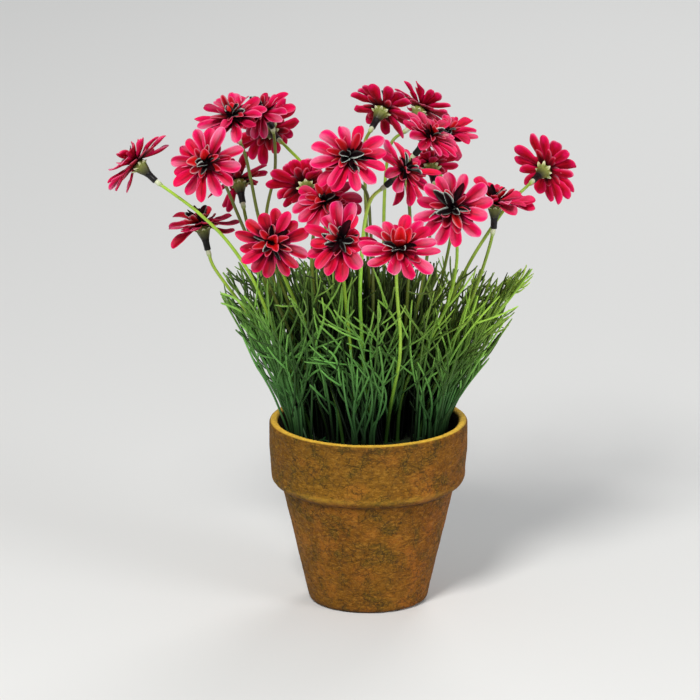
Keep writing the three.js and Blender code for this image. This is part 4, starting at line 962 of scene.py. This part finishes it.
    # painted shade: the calyx is darker where it lies behind its head, away from the camera
    calyx_shade = 1.0 if away > 0.2 else 0.62
    c = calyx_shade * np.array([mix(lin(46, 44, 16), lin(142, 146, 66), smooth(-5.5, 0.5, q[1])) for q in prof[1:-1]])
    lathe(green, prof, 32, place, c, ribs=lambda a, z: 1 + 0.07 * np.cos(8 * a) * smooth(-5.6, -3.0, z) + 0.03 * np.cos(16 * a))
    for az in ring(8, 0, 5, rng):
        petal(green, place, rng, az, rng.uniform(3.0, 4.4), rng.uniform(1.7, 2.4), r0=2.1, z0=-1.6, lift=rng.uniform(26, 40), curl=-34,
              cup=-0.5, neck=0.8, peak=0.35, point=1.2, thick=0.42, ruffle=0.08, groove=-0.12, lip=0.0, small=True, rows=8, paint=sepal_paint)
    green.build("calyx_" + key, [CALYX], "foliage_plastic")

    black = Shape()
    prof = [(0, -11.15), (1.35, -11.15), (1.62, -10.95), (1.72, -10.5), (1.66, -9.6), (1.70, -8.0), (1.74, -6.6), (1.98, -5.9), (1.9, -5.3), (1.2, -5.0), (0, -5.0)]
    lathe(black, prof, 24, place, (0.01, 0.01, 0.01))
    black.build("socket_" + key, [SOCKET], "stem_plastic")


for key in HEADS:
    flower(key)


# ------------------------------------------------------------------ stems
# Stems that stand back in the shade of the others.
SHADED = {"02": 0.50, "03": 0.60, "04": 0.60, "06": 0.70, "09": 0.60, "10": 0.50, "11": 0.60, "15": 0.65, "17": 0.60, "21": 0.60, "22": 0.75, "20": 0.85,
          "19": 0.85, "07": 0.90, "16": 0.90}


def stem(key):
    rng = np.random.default_rng(7000 + int(key))
    P = spline(STEMS[key], 64)
    u = np.linspace(0, 1, 64)
    axis = unit(HEADS[key][1])
    P[-1] = np.asarray(HEADS[key][0]) - 11.2 * axis
    R = 0.81 + 0.04 * np.sin(u * 21 + rng.uniform(0, 6)) * np.sin(u * 8) + 0.10 * (1 - u)
    low, high = lin(74, 126, 42), lin(160, 200, 54)
    tone = rng.uniform(0, 1)
    shade = SHADED.get(key, 1.0)
    # painted light: stems 14 and 13 are made lighter than the rest
    if key == "14":
        low, high, tone = low * 1.2, lin(168, 232, 76) * 1.25, 0.5
    if key == "13":
        high, tone = lin(168, 208, 64) * 1.06, 0.5
    low, high = low * shade, mix(lin(150, 150, 60), high, shade ** 2) * (0.85 + 0.25 * tone) * shade
    # painted shade: darker and greener towards the planting, and much darker below about 128 mm inside the foliage
    C = mix(low, high, smooth(0.12, 0.6, u)) * (0.22 + 0.78 * smooth(92, 128, P[:, 2]))[:, None]
    # painted light on stem 14, strongest near its head
    if key == "14":
        C = np.clip(C * (1 + 0.55 * smooth(0.62, 0.92, u))[:, None], 0, 1)
        R = R * 1.12
    shape = Shape()
    tube(shape, P, R, 10, C, phase=rng.uniform(0, 6), ribs=0.035, round_end=False)
    n = axis
    back = P[-5:]
    base = back[0]
    Q = spline([P[-1] - unit(P[-1] - P[-6]) * 3.4, P[-1] - unit(P[-1] - P[-4]) * 1.7, P[-1] + n * 0.5], 9)
    v = np.linspace(0, 1, 9)
    Rj = 0.98 + 0.32 * smooth(0.05, 0.35, v) - 0.10 * smooth(0.6, 1.0, v)
    Cj = mix(lin(166, 186, 110), lin(206, 212, 178), smooth(0.1, 0.6, v))
    tube(shape, Q, Rj, 12, Cj, round_start=True, round_end=True)
    shape.build("stem_" + key, [STEM], "stem_plastic", ["flower_stem_" + key])


for key in STEMS:
    stem(key)


# ------------------------------------------------------------------ pot
POT_OUTER = [(0, 0), (28.6, 0), (29.9, 0.6), (30.7, 2.0), (44.1, 60.4), (44.9, 61.1), (46.9, 62.1), (48.6, 63.5), (49.7, 65.6), (50.1, 74.0),
             (51.0, 82.0), (51.0, 94.6), (50.85, 95.3), (50.2, 95.8), (47.2, 95.8), (46.6, 95.45), (46.35, 94.7)]


def pot():
    fill_lo, fill_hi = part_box("planting_filler")
    wall = [(44.9, 88.0), (43.6, 82.0), (40.4, 68.0), (33.4, 36.0), (26.2, 5.0), (0, 5.0)]
    prof = np.array(POT_OUTER + wall, float)
    pts, tags = [prof[0]], [0.0]
    for i in range(len(prof) - 1):
        a, b = prof[i], prof[i + 1]
        length = np.linalg.norm(b - a)
        step = 0.62 if 0 < i < 16 else (1.4 if i == 16 else 5.0)
        if i == 0:
            step = 6.0
        n = max(1, int(round(length / step)))
        for j in range(1, n + 1):
            pts.append(a + (b - a) * j / n)
            tags.append(i + j / n)
    pts = np.array(pts)
    tags = np.array(tags)
    # ease the corners of the outside a little
    for _ in range(3):
        q = pts.copy()
        q[1:-1] = (pts[:-2] + 2 * pts[1:-1] + pts[2:]) / 4
        keep = (tags < 0.9) | (tags > 16.2)
        pts = np.where(keep[:, None], pts, q)
    m = 288
    inner = pts[1:-1]
    tg = tags[1:-1]
    ang = np.arange(m) * 2 * math.pi / m
    tangent = np.gradient(inner, axis=0)
    tangent /= np.linalg.norm(tangent, axis=1)[:, None]
    nr, nz = tangent[:, 1], -tangent[:, 0]
    V = np.empty((len(inner), m, 3))
    D = np.zeros((len(inner), m))
    ca, sa = np.cos(ang), np.sin(ang)
    for i, ((r, z), tag) in enumerate(zip(inner, tg)):
        outside = 0.95 < tag < 16.5
        for j in range(m):
            if outside:
                p = Vector((r * ca[j], r * sa[j], z))
                d = 0.20 * noise.noise(p * 0.035) + 0.16 * noise.noise(p * 0.11)
                d += 0.13 * noise.noise(p * 0.33) + 0.07 * noise.noise(p * 0.8)
                pit = noise.noise(p * 0.23 + Vector((40, 7, 3)))
                d -= 0.22 * max(0.0, pit - 0.35)
                D[i, j] = d
    seat = smooth(0.0, 1.2, inner[:, 1])[:, None]
    D = D * seat
    rim_soft = 1 - 0.4 * smooth(94.0, 95.6, inner[:, 1])[:, None]
    D = D * rim_soft
    rr = inner[:, :1] + D * nr[:, None]
    V[..., 0], V[..., 1] = rr * ca, rr * sa
    V[..., 2] = inner[:, 1:2] + D * nz[:, None]
    zone = np.ones((len(inner), m, 3))
    z = inner[:, 1][:, None]
    t = tg[:, None]
    inside = smooth(15.3, 16.6, t) * np.ones((1, m))
    zone = mix(zone, np.array((0.10, 0.085, 0.075)), inside)
    front = (t < 12.2) * np.ones((1, m))
    # painted shade in the groove under the band's lower edge
    groove = np.exp(-(((z - 61.2) / 1.3) ** 2)) * front
    zone = mix(zone, np.array((0.34, 0.32, 0.30)), groove * 0.8)
    foot = (1 - smooth(0.3, 3.2, z)) * front
    zone = mix(zone, np.array((0.5, 0.42, 0.4)), foot * 0.6)
    under = np.exp(-(((z - 93.0) / 1.1) ** 2)) * front
    zone = mix(zone, np.array((0.55, 0.55, 0.52)), under * 0.5)
    body = (1 - smooth(60.4, 62.8, z)) * np.ones((1, m))
    zone = zone * mix(np.array((0.90, 0.94, 0.98)), np.array((0.94, 0.93, 0.94)), body)
    side = np.broadcast_to(ca, z.shape[:1] + (m,)) if ca.ndim == 1 else ca
    zone = zone * mix(np.ones(3), np.array((0.96, 1.02, 0.95)), smooth(0.25, 0.95, -side) * front)
    zone = zone * mix(np.ones(3), np.array((1.08, 0.94, 0.90)), smooth(0.25, 0.95, side) * front)
    # painted highlight: a lighter zone low on the band
    low_band_highlight = np.exp(-(((z - 70.0) / 4.5) ** 2)) * front
    zone = zone * mix(np.ones(3), np.array((1.10, 1.10, 1.0)), low_band_highlight)
    # painted highlight: bright yellow on the rim's top and inner edge, and below a thin bright line along the band's
    # lower edge
    rim_and_edge_highlight = smooth(12.4, 13.4, t) * (1 - smooth(14.7, 15.6, t)) * np.ones((1, m)) * 0.95
    rim_and_edge_highlight = rim_and_edge_highlight + 0.22 * np.exp(-(((z - 65.3) / 1.4) ** 2)) * front * np.clip(0.4 + 3 * D, 0, 1)
    shape = Shape()
    quads, tris = tube_faces(len(inner), m)
    verts = np.vstack([V.reshape(-1, 3), (0, 0, pts[0, 1]), (0, 0, pts[-1, 1])])
    # the profile runs up the outside, so the faces of the ring grid already look out
    shape.add(
        verts, quads, tris,
        np.vstack([zone.reshape(-1, 3), (0.5, 0.5, 0.5), (0.1, 0.1, 0.1)]),
        np.concatenate([rim_and_edge_highlight.ravel(), [0, 0]]),
    )
    return shape.build("clay_pot", [CLAY], "clay_pot", ["pot"])


pot()


def filler():
    lo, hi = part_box("planting_filler")
    top, low, r_top = hi.z / MM, lo.z / MM, hi.x / MM - 0.1
    shape = Shape()
    m, n = 150, 46
    ang = np.arange(m) * 2 * math.pi / m
    rad = np.linspace(1.0, r_top, n)
    V = []
    for r in rad[::-1]:
        for a in ang:
            p = Vector((r * math.cos(a), r * math.sin(a), 0))
            h = 0.9 * noise.noise(p * 0.12) + 0.7 * noise.noise(p * 0.35) + 0.5 * noise.noise(p * 0.9)
            edge = smooth(r_top, r_top - 3.0, r)
            V.append((p.x, p.y, top - 0.3 + h * edge - 0.5 * (1 - edge)))
    V = np.array(V).reshape(n, m, 3)
    side = [(r_top - 0.4, top - 3.0), (r_top * 0.86, (top + low) / 2), (26.0, low + 0.3), (12.0, low + 0.3)]
    S = np.array([[(r * math.cos(a), r * math.sin(a), z) for a in ang] for r, z in reversed(side)])
    G = np.vstack([S.reshape(-1, 3), V.reshape(-1, 3)])
    quads, tris = tube_faces(n + len(side), m)
    shape.add(
        np.vstack([G, (0, 0, low + 0.3), (0, 0, top - 0.2)]), quads, tris, (1, 1, 1),
    )
    return shape


FILL = filler()


# ------------------------------------------------------------------ foliage
OUTLINE = [(290, 436), (276, 402), (258, 368), (240, 334), (222, 300), (217, 288), (224, 266), (238, 258), (262, 252), (300, 246), (350, 244),
           (400, 246), (440, 250), (470, 262), (498, 272), (528, 264), (536, 270), (516, 316), (500, 338), (486, 362), (468, 392), (452, 418),
           (436, 434), (365, 448)]


def in_outline(p):
    x, y = seen_at(p)
    inside = False
    n = len(OUTLINE)
    for i in range(n):
        (x1, y1), (x2, y2) = OUTLINE[i], OUTLINE[(i + 1) % n]
        if (y1 > y) != (y2 > y) and x < (x2 - x1) * (y - y1) / (y2 - y1) + x1:
            inside = not inside
    return inside


# Flower stems that stay in sight in front of the foliage: (stem, lowest row of the view where it still shows).
SHOWN = []
for key, lowest in (("13", 420), ("14", 362), ("18", 420), ("01", 304), ("07", 318), ("19", 300)):
    line = spline(STEMS[key], 60)
    sx, sy = seen_at(line)
    deep = (line - CAMERA_AT) @ FORWARD
    keep = sy < lowest
    SHOWN.append(np.stack([sx, sy, deep, np.full(60, 3.0)], -1)[keep])

# Pale threads that stand out at the front: depth at the foot, depth at the tip, then places in the view.
LEADING = [
    (-12, -34, "387,410 376,392 363,370 352,359 341,348 332,337 320,326"),
    (-14, -40, "395,374 387,359 380,346 369,330 354,317"),
    (-34, -42, "363,342 345,324 334,310"),
    (-39, -42, "345,324 354,310"),
    (-16, -30, "398,385 411,363 422,337 433,321"),
    (-10, -14, "290,414 286,392 273,363 259,343 240,324"),
    (-12, -26, "295,412 292,381 281,359 270,332 262,316"),
    (-20, -34, "290,363 306,348 321,328 323,324"),
    (-14, -34, "297,398 310,376 328,363 341,341"),
    (-14, -30, "336,409 323,398 310,385"),
    (-8, -12, "442,416 449,394 460,372 479,359 486,354"),
    (-6, -10, "446,407 455,381 471,363 473,343 493,326 511,316"),
    (-4, -6, "473,343 482,332 508,299"),
    (-2, 0, "496,315 516,291 532,269"),
    (-16, -30, "420,407 427,381 438,372"),
    (-18, -36, "352,398 341,372 328,363 314,359"),
    (-14, -38, "354,429 352,407 341,385 336,359 323,346"),
    (-14, -34, "372,425 363,403 354,372 350,350"),
    (-20, -20, "245,306 234,298 221,293"),
    (-18, -18, "242,312 230,306 221,303"),
    (-8, -6, "277,403 266,381 255,363 241,332"),
    (-20, -38, "379,398 372,370 371,340 380,318 378,302"),
    (-12, -40, "300,352 306,330 300,310 288,296"),
    (-20, -44, "318,372 316,345 324,318 322,298"),
    (-18, -36, "412,372 428,350 432,330 446,310 450,290"),
    (-14, -24, "434,392 446,362 452,340 470,318 478,296"),
    (-24, -34, "340,330 330,310 318,300"),
    (-26, -36, "398,330 390,312 378,300"),
    (-16, -22, "262,330 256,312 244,296"),
    (-10, -14, "456,398 468,378 488,346"),
]


def leading_line(lo, hi, places):
    places = [tuple(map(float, q.split(","))) for q in places.split()]
    P = [from_view(x, y, lo + (hi - lo) * i / (len(places) - 1)) for i, (x, y) in enumerate(places)]
    foot = P[0]
    if foot[2] < 108:
        root = np.array((foot[0] * 0.96, max(foot[1], -26.0) * 0.96, 84.0))
        rr = math.hypot(root[0], root[1])
        if rr > 39.5:
            root[:2] *= 39.5 / rr
        return spline([root] + P, 18)
    return spline([foot + np.array((-foot[0] * 0.12, 9.0, -9.0))] + P, 18)


def front_lines():
    """The lines above, more of the same kind between them, and forks in the picture plane on all of them."""
    rng = np.random.default_rng(611)
    lines = [(leading_line(*row), rng.uniform(1.0, 1.35), 2) for row in LEADING]
    for foot_x, foot_y, foot_depth, left, right, top in (
        (292, 420, -13, -62, 26, 296), (362, 437, -26, -52, 40, 300), (368, 430, -24, -30, 62, 304), (432, 428, -14, -26, 66, 292),
        (300, 408, -16, -52, 30, 300), (424, 418, -14, -20, 90, 300), (356, 420, -22, -70, 20, 310), (396, 400, -18, -40, 60, 300),
    ):
        for i in range(5):
            lean = left + (right - left) * (i + rng.uniform(0.1, 0.9)) / 5
            height = rng.uniform(0.45, 1.0)
            x0, y0 = foot_x + rng.normal(0, 4), foot_y + rng.normal(0, 3)
            x3, y3 = x0 + lean * height * 1.15, y0 + (top - y0) * height
            bend = rng.normal(0, 9)
            places = " ".join(
                "%.1f,%.1f" % (x0 + (x3 - x0) * f ** 1.35 + bend * math.sin(3.1 * f), y0 + (y3 - y0) * f) for f in (0, 0.2, 0.4, 0.6, 0.8, 1.0)
            )
            P = leading_line(foot_depth, -28 - 14 * height + abs(lean) * 0.25, places)
            if in_outline(P[-1]):
                lines.append((P, rng.choice([rng.uniform(0.25, 0.45), rng.uniform(0.5, 0.8), rng.uniform(0.9, 1.25)]), 2))
    for foot, tip, step, depth in (((287, 416), (233, 322), (6.5, -1.5), -8), ((287, 414), (222, 296), (7, 1.0), -4), ((446, 420), (489, 352), (-6.5, -3), -8),
                                   ((450, 414), (512, 318), (-7, -4), -4), ((446, 408), (530, 272), (-9, 2), 2)):
        for i in range(7):
            x0, y0, x3, y3 = foot[0] + (1.6 if step[0] > 0 else -1.6) * i, foot[1] + rng.normal(0, 2), tip[0] + step[0] * i, tip[1] + step[1] * i + rng.normal(0, 5)
            sag = (1 if step[0] < 0 else -1) * (3.0 - 0.5 * i) + rng.normal(0, 1.5)
            places = " ".join(
                "%.1f,%.1f" % (x0 + (x3 - x0) * f - sag * math.sin(3.1 * f), y0 + (y3 - y0) * f) for f in (0, 0.25, 0.5, 0.75, 1.0)
            )
            P = leading_line(depth - 1.5 * i, depth - 2.5 * i + rng.normal(0, 3), places)
            lines.append((P, rng.choice([0.35, 0.6, 0.85, 1.1]) * rng.uniform(0.85, 1.15), 2))
    out = []
    for P, tone, forks in lines:
        out.append((P, tone, 0.66))
        spots = rng.permutation(6)[:forks]
        for spot in spots:
            a = 4 + int(spot * 2)
            o, T = P[a], unit(P[a + 1] - P[a])
            if o[2] < 110:
                continue
            side = rng.choice([-1, 1])
            away = unit(np.cross(T, FORWARD)) * side
            off = math.radians(rng.uniform(16, 40))
            length = rng.uniform(14, 30)
            d1 = T * math.cos(off) + away * math.sin(off) - FORWARD * rng.uniform(0.05, 0.3)
            d2 = unit(d1 + rng.uniform(0.1, 0.5) * T + np.array((0, 0, rng.uniform(-0.05, 0.2))))
            Q = spline([o, o + d1 * length * 0.3, o + d1 * length * 0.55 + d2 * length * 0.05, o + d1 * length * 0.55 + d2 * length * 0.45], 8)
            if in_outline(Q[-1]):
                out.append((Q, tone * rng.uniform(0.75, 1.15), 0.56))
    return out


FRONT = front_lines()
for line, _, _ in FRONT:
    sx, sy = seen_at(line)
    SHOWN.append(np.stack([sx, sy, (line - CAMERA_AT) @ FORWARD, np.full(len(line), 1.6)], -1))
SHOWN = np.vstack(SHOWN)


def hides_stem(P):
    P = np.vstack([P[:-1] + (P[1:] - P[:-1]) * f for f in (0.0, 0.25, 0.5, 0.75)] + [P[-1:]])
    x, y = seen_at(P)
    deep = (P - CAMERA_AT) @ FORWARD
    near = np.hypot(SHOWN[None, :, 0] - x[:, None], SHOWN[None, :, 1] - y[:, None]) < SHOWN[None, :, 3]
    return bool((near & (SHOWN[None, :, 2] > deep[:, None])).any())


BLUE_GREEN, MID_GREEN, YELLOW_GREEN = lin(64, 110, 56), lin(94, 134, 60), lin(146, 172, 68)


def leaf_colour(P, tone, tip=0.0):
    """tone is a factor on the lightness. Painted shade makes threads darker deep in the bush and darker and bluer low
    down; painted light makes them lighter and yellower towards the right and the top, and tip paints a highlight
    towards the tip.
    """
    z, x, y = P[:, 2], P[:, 0], P[:, 1]
    h = smooth(100, 172, z)
    # painted shade and light: bluer low down, yellower towards the right and the top
    c = mix(BLUE_GREEN, MID_GREEN, h)
    lit_yellowing = np.clip(smooth(-20, 80, x) * smooth(100, 160, z) * 0.75 + 0.35 * smooth(150, 185, z), 0, 1)
    c = mix(c, YELLOW_GREEN, lit_yellowing)
    wide = 42 + 0.46 * np.clip(z - 90, 0, 90)
    rho = np.hypot(x / wide, y / (wide * 0.86))
    # painted shade deep in the bush and near the planting
    depth = 0.34 + 0.66 * smooth(0.30, 0.85, rho + 0.5 * smooth(150, 185, z))
    depth = depth * (0.08 + 0.92 * smooth(89, 120, z))
    depth = depth * (1 - 0.6 * (1 - smooth(98, 126, z)) * (1 - smooth(0.5, 0.95, rho)))
    c = c * (tone * depth * (1 + 0.40 * smooth(142, 176, z)))[:, None]
    # painted highlight towards the tip
    if tip:
        f = smooth(0.5, 1.0, np.linspace(0, 1, len(P))) * tip
        c = mix(c, c * 1.25, f)
    return np.clip(c, 0, 1)


def thread(shape, o, d1, d2, length, r0, r1, rng, tone, m=4, tip=0.5, check=True):
    """A side thread from o that starts along d1 and bends to d2. Returns its points, or None if it would leave the bush."""
    end = o + d1 * length * 0.5 + d2 * length * 0.5
    if check and not in_outline(end):
        return None
    n = 7 if length > 11 else 5
    bow = unit(np.cross(d1, rng.normal(size=3))) * length * rng.uniform(-0.09, 0.09)
    mid = o + d1 * length * 0.5
    P = spline([o, o + d1 * length * 0.25 + bow * 0.6, mid + bow, mid + (d1 * 0.3 + d2 * 0.7) * length * 0.25 + bow * 0.6, end], n)
    if check and hides_stem(P):
        return None
    R = np.linspace(r0, r1, n) * (1 + 0.05 * np.sin(np.arange(n) * 2.1 + rng.uniform(0, 6)))
    R[-1] *= 0.6
    tube(shape, P, R, m, leaf_colour(P, tone, tip), phase=rng.uniform(0, 6))
    return P


def tone_of(rng):
    """Two kinds of thread: pale ones that catch the eye and dark ones behind them."""
    return rng.uniform(0.75, 1.3) if rng.uniform() < 0.42 else rng.uniform(0.14, 0.5)


def side_threads(shape, P, rng, count, reach, start=0.16, forks=0.55, spread=1.0):
    turn0 = rng.uniform(0, 360)
    for i in range(count):
        t = start + (0.97 - start) * (i + rng.uniform(0.1, 0.9)) / count
        f = t * (len(P) - 1)
        a = min(int(f), len(P) - 2)
        o = P[a] + (P[a + 1] - P[a]) * (f - a)
        if o[2] < 101:
            continue
        T = unit(P[a + 1] - P[a])
        A = unit(np.cross(T, (0, 0, 1.0)) + 1e-6)
        B = np.cross(T, A)
        tone = tone_of(rng)
        Q = None
        for attempt in range(4):
            turn = math.radians(turn0 + 137.5 * i + rng.uniform(-25, 25) + attempt * 70)
            off = math.radians((rng.uniform(24, 46) - 16 * t) * spread)
            length = reach * (1.2 - 0.55 * t) * rng.uniform(0.7, 1.3) * (1 - 0.18 * attempt)
            out = A * math.cos(turn) + B * math.sin(turn)
            d1 = T * math.cos(off) + out * math.sin(off)
            d2 = unit(d1 + rng.uniform(0.25, 0.65) * T + np.array((0, 0, rng.uniform(-0.05, 0.35))) + rng.normal(0, 0.06, 3))
            Q = thread(shape, o, d1, d2, length, 0.56, 0.44, rng, tone)
            if Q is not None:
                break
        if Q is None:
            continue
        for g in range(2):
            if rng.uniform() < forks and length > 9:
                w = rng.uniform(0.25, 0.72)
                b = int(w * (len(Q) - 1))
                o2, T2 = Q[b], unit(Q[min(b + 1, len(Q) - 1)] - Q[b - 1 if b else 0])
                s = unit(np.cross(T2, rng.normal(size=3)))
                off2 = math.radians(rng.uniform(30, 54))
                e1 = T2 * math.cos(off2) + s * math.sin(off2)
                e2 = unit(e1 + 0.3 * T2 + np.array((0, 0, 0.12)))
                thread(shape, o2, e1, e2, length * rng.uniform(0.45, 0.8), 0.52, 0.42, rng, tone * rng.uniform(0.85, 1.1))


def cad_threads(shape, P, branches, rng):
    for t, turn, off, length in branches:
        f = t * (len(P) - 1)
        a = min(int(f), len(P) - 2)
        o = P[a] + (P[a + 1] - P[a]) * (f - a)
        T = unit(P[a + 1] - P[a])
        A = unit(np.cross(T, (0, 0, 1.0)))
        B = np.cross(T, A)
        tr, of = math.radians(turn), math.radians(off)
        d1 = T * math.cos(of) + (A * math.cos(tr) + B * math.sin(tr)) * math.sin(of)
        d2 = unit(d1 + 0.35 * T + np.array((0, 0, 0.25)))
        end = o + (d1 + d2) * length * 0.5
        while length > 8 and not in_outline(end):
            length *= 0.85
            end = o + (d1 + d2) * length * 0.5
        thread(shape, o, d1, d2, length, 0.46, 0.36, rng, tone_of(rng), m=6, check=False)


def stalk_line(b, e, rng, bow=4.0):
    run = e - b
    side = unit(np.cross(run, rng.normal(size=3))) * rng.uniform(0, bow)
    c1 = b + np.array((run[0] * 0.20, run[1] * 0.20, run[2] * 0.34)) + side * 0.7
    c2 = b + np.array((run[0] * 0.55, run[1] * 0.55, run[2] * 0.70)) + side
    return spline([b - (0, 0, 3.5), b, c1, c2, e], 22)


def spray(index):
    stalk, branches = SPRAYS[index]
    rng = np.random.default_rng(9000 + index)
    shape = Shape()
    P = spline(stalk, 30)
    tube(shape, P, np.linspace(0.72, 0.42, 30), 7, leaf_colour(P, 0.9, 0.4), phase=1.0)
    cad_threads(shape, P, branches, rng)
    side_threads(shape, P, rng, 9, 29, forks=0.65, spread=1.12)
    base, tip = np.array(stalk[1]), np.array(stalk[-1])
    made = 0
    tries = 0
    while made < 8 and tries < 120:
        tries += 1
        b = base + np.append(rng.normal(0, 3.6, 2), 0)
        if b[1] < -8:
            bunch = min(((-33, -12), (-2, -25), (31, -13)), key=lambda q: abs(q[0] - b[0]) + rng.uniform(0, 9))
            b[:2] = np.array(bunch) + rng.normal(0, 2.6, 2)
        rb = math.hypot(b[0], b[1])
        if rb > 39.5:
            b[:2] *= 39.5 / rb
        e = tip + np.array((rng.normal(0, 14), rng.normal(0, 14), rng.normal(-3, 12)))
        if e[2] < 118 or not in_outline(e):
            continue
        Q = stalk_line(b, e, rng, 8.5)
        if hides_stem(Q):
            continue
        colour = leaf_colour(Q, tone_of(rng), 0.4)
        # painted light: stalks at the front are lightened near the planting
        if b[1] < -8:
            colour = np.clip(colour * (1 + 1.3 * (1 - smooth(96, 126, Q[:, 2])))[:, None], 0, 1)
        tube(shape, Q, np.linspace(0.70, 0.46, 22), 6, colour, phase=rng.uniform(0, 6))
        side_threads(shape, Q, rng, int(np.linalg.norm(Q[-1] - b) / 10.5), 30, start=0.30, forks=0.65, spread=1.12)
        made += 1
    # threads deep in the bush and at its back, most of them dark, and darkened further as painted shade
    for i in range(72):
        bunch = ((-26, 6), (-8, 16), (12, 18), (27, 4), (4, -4), (-14, -2))[rng.integers(6)]
        b = np.array((bunch[0] + rng.normal(0, 5), bunch[1] + rng.normal(0, 5), 86.0))
        grow = rng.uniform(1.0, 1.9)
        e = np.array((b[0] * grow + rng.normal(0, 12), b[1] * grow + 6 + rng.normal(0, 8), rng.uniform(128, 196)))
        if not in_outline(e) or e[1] < -30 or math.hypot(e[0] / 1.5, e[1]) > 52:
            continue
        Q = stalk_line(b, e, rng, 9.0)[::2]
        if hides_stem(Q):
            continue
        tube(shape, Q, 0.52, 4, leaf_colour(Q, tone_of(rng) * 0.7), phase=rng.uniform(0, 6))
    front_threads(shape, FRONT[index::len(SPRAYS)])
    return shape.build("foliage_%02d" % (index + 1), [LEAF], "foliage_plastic", ["foliage_spray_%02d" % (index + 1)])


def ground_threads(shape):
    """Curled scraps of thread that lie on the planting."""
    rng = np.random.default_rng(77)
    for i in range(90):
        a, r = rng.uniform(0, 2 * math.pi), 40 * math.sqrt(rng.uniform(0.08, 1.0))
        o = np.array((r * math.cos(a), r * math.sin(a), 86.4))
        h = rng.uniform(0, 2 * math.pi)
        pts = [o]
        length = rng.uniform(5, 12)
        bend = rng.uniform(-1.6, 1.6)
        for s in range(4):
            h += bend / 4
            step = np.array((math.cos(h), math.sin(h), [0.28, 0.12, -0.05, -0.2][s])) * length / 4
            q = pts[-1] + step
            rq = math.hypot(q[0], q[1])
            if rq > 41.5:
                q[:2] *= 41.5 / rq
            pts.append(q)
        P = spline(pts, 9)
        c = np.broadcast_to(lin(26, 58, 28) * rng.uniform(0.3, 1.3), (9, 3))
        tube(shape, P, 0.42, 5, c, mat=1, round_start=True)


def front_colour(P, tone):
    z, x = P[:, 2], P[:, 0]
    # painted shade and light: darker low down near the planting, lighter and yellower towards the right and the top
    c = mix(lin(68, 118, 62), lin(104, 158, 74), smooth(98, 150, z))
    c = mix(c, lin(152, 192, 74), np.clip(smooth(-10, 70, x) * smooth(105, 160, z) * 0.85 + 0.55 * smooth(135, 175, z), 0, 1))
    return np.clip(c * (tone * (0.16 + 0.84 * smooth(87, 116, z)))[:, None], 0, 1)


def front_threads(shape, some):
    for P, tone, radius in some:
        R = np.linspace(radius, radius * 0.80, len(P))
        R[-1] *= 0.6
        tube(shape, P, R, 6, front_colour(P, tone * 1.1))


ground_threads(FILL)
FILL.build("planting_moss", [MOSS, LEAF], "planting_filler", ["planting_filler"])
for index in range(len(SPRAYS)):
    spray(index)


# ------------------------------------------------------------------ stage
def stage():
    me = bpy.data.meshes.new("floor")
    s = 14.0
    me.from_pydata([(-s, -s, 0), (s, -s, 0), (s, s, 0), (-s, s, 0)], [], [(0, 1, 2, 3)])
    floor = bpy.data.objects.new("floor", me)
    bpy.context.scene.collection.objects.link(floor)
    m, nt, sh = new_material("floor_pale")
    sh.inputs["Base Color"].default_value = (0.78, 0.78, 0.77, 1)
    sh.inputs["Roughness"].default_value = 0.9
    sh.inputs["Specular IOR Level"].default_value = 0.1
    me.materials.append(m)

    def area(name, at, to, size, power, colour=(1, 1, 1)):
        d = bpy.data.lights.new(name, "AREA")
        d.shape = "DISK"
        d.size = size
        d.energy = power
        d.color = colour
        o = bpy.data.objects.new(name, d)
        bpy.context.scene.collection.objects.link(o)
        o.location = at
        o.rotation_mode = "QUATERNION"
        o.rotation_quaternion = (Vector(to) - Vector(at)).to_track_quat("-Z", "Y")

    area("key", (-0.45, -1.35, 1.55), (0, 0, 0.15), 0.55, 32, (1.0, 0.985, 0.96))
    area("fill", (1.5, -1.2, 0.8), (0, 0, 0.15), 1.0, 13, (0.96, 0.98, 1.0))
    area("back", (0.5, 1.5, 1.3), (0, 0, 0.18), 0.9, 11)
    world = bpy.data.worlds.new("studio")
    world.use_nodes = True
    bg = next(n for n in world.node_tree.nodes if n.type == "BACKGROUND")
    bg.inputs["Color"].default_value = (0.86, 0.88, 0.9, 1)
    bg.inputs["Strength"].default_value = 0.31
    bpy.context.scene.world = world


stage()
view = bpy.context.scene.view_settings
view.view_transform = "Standard"
view.look = "None"
view.exposure = 0.0
view.gamma = 1.0
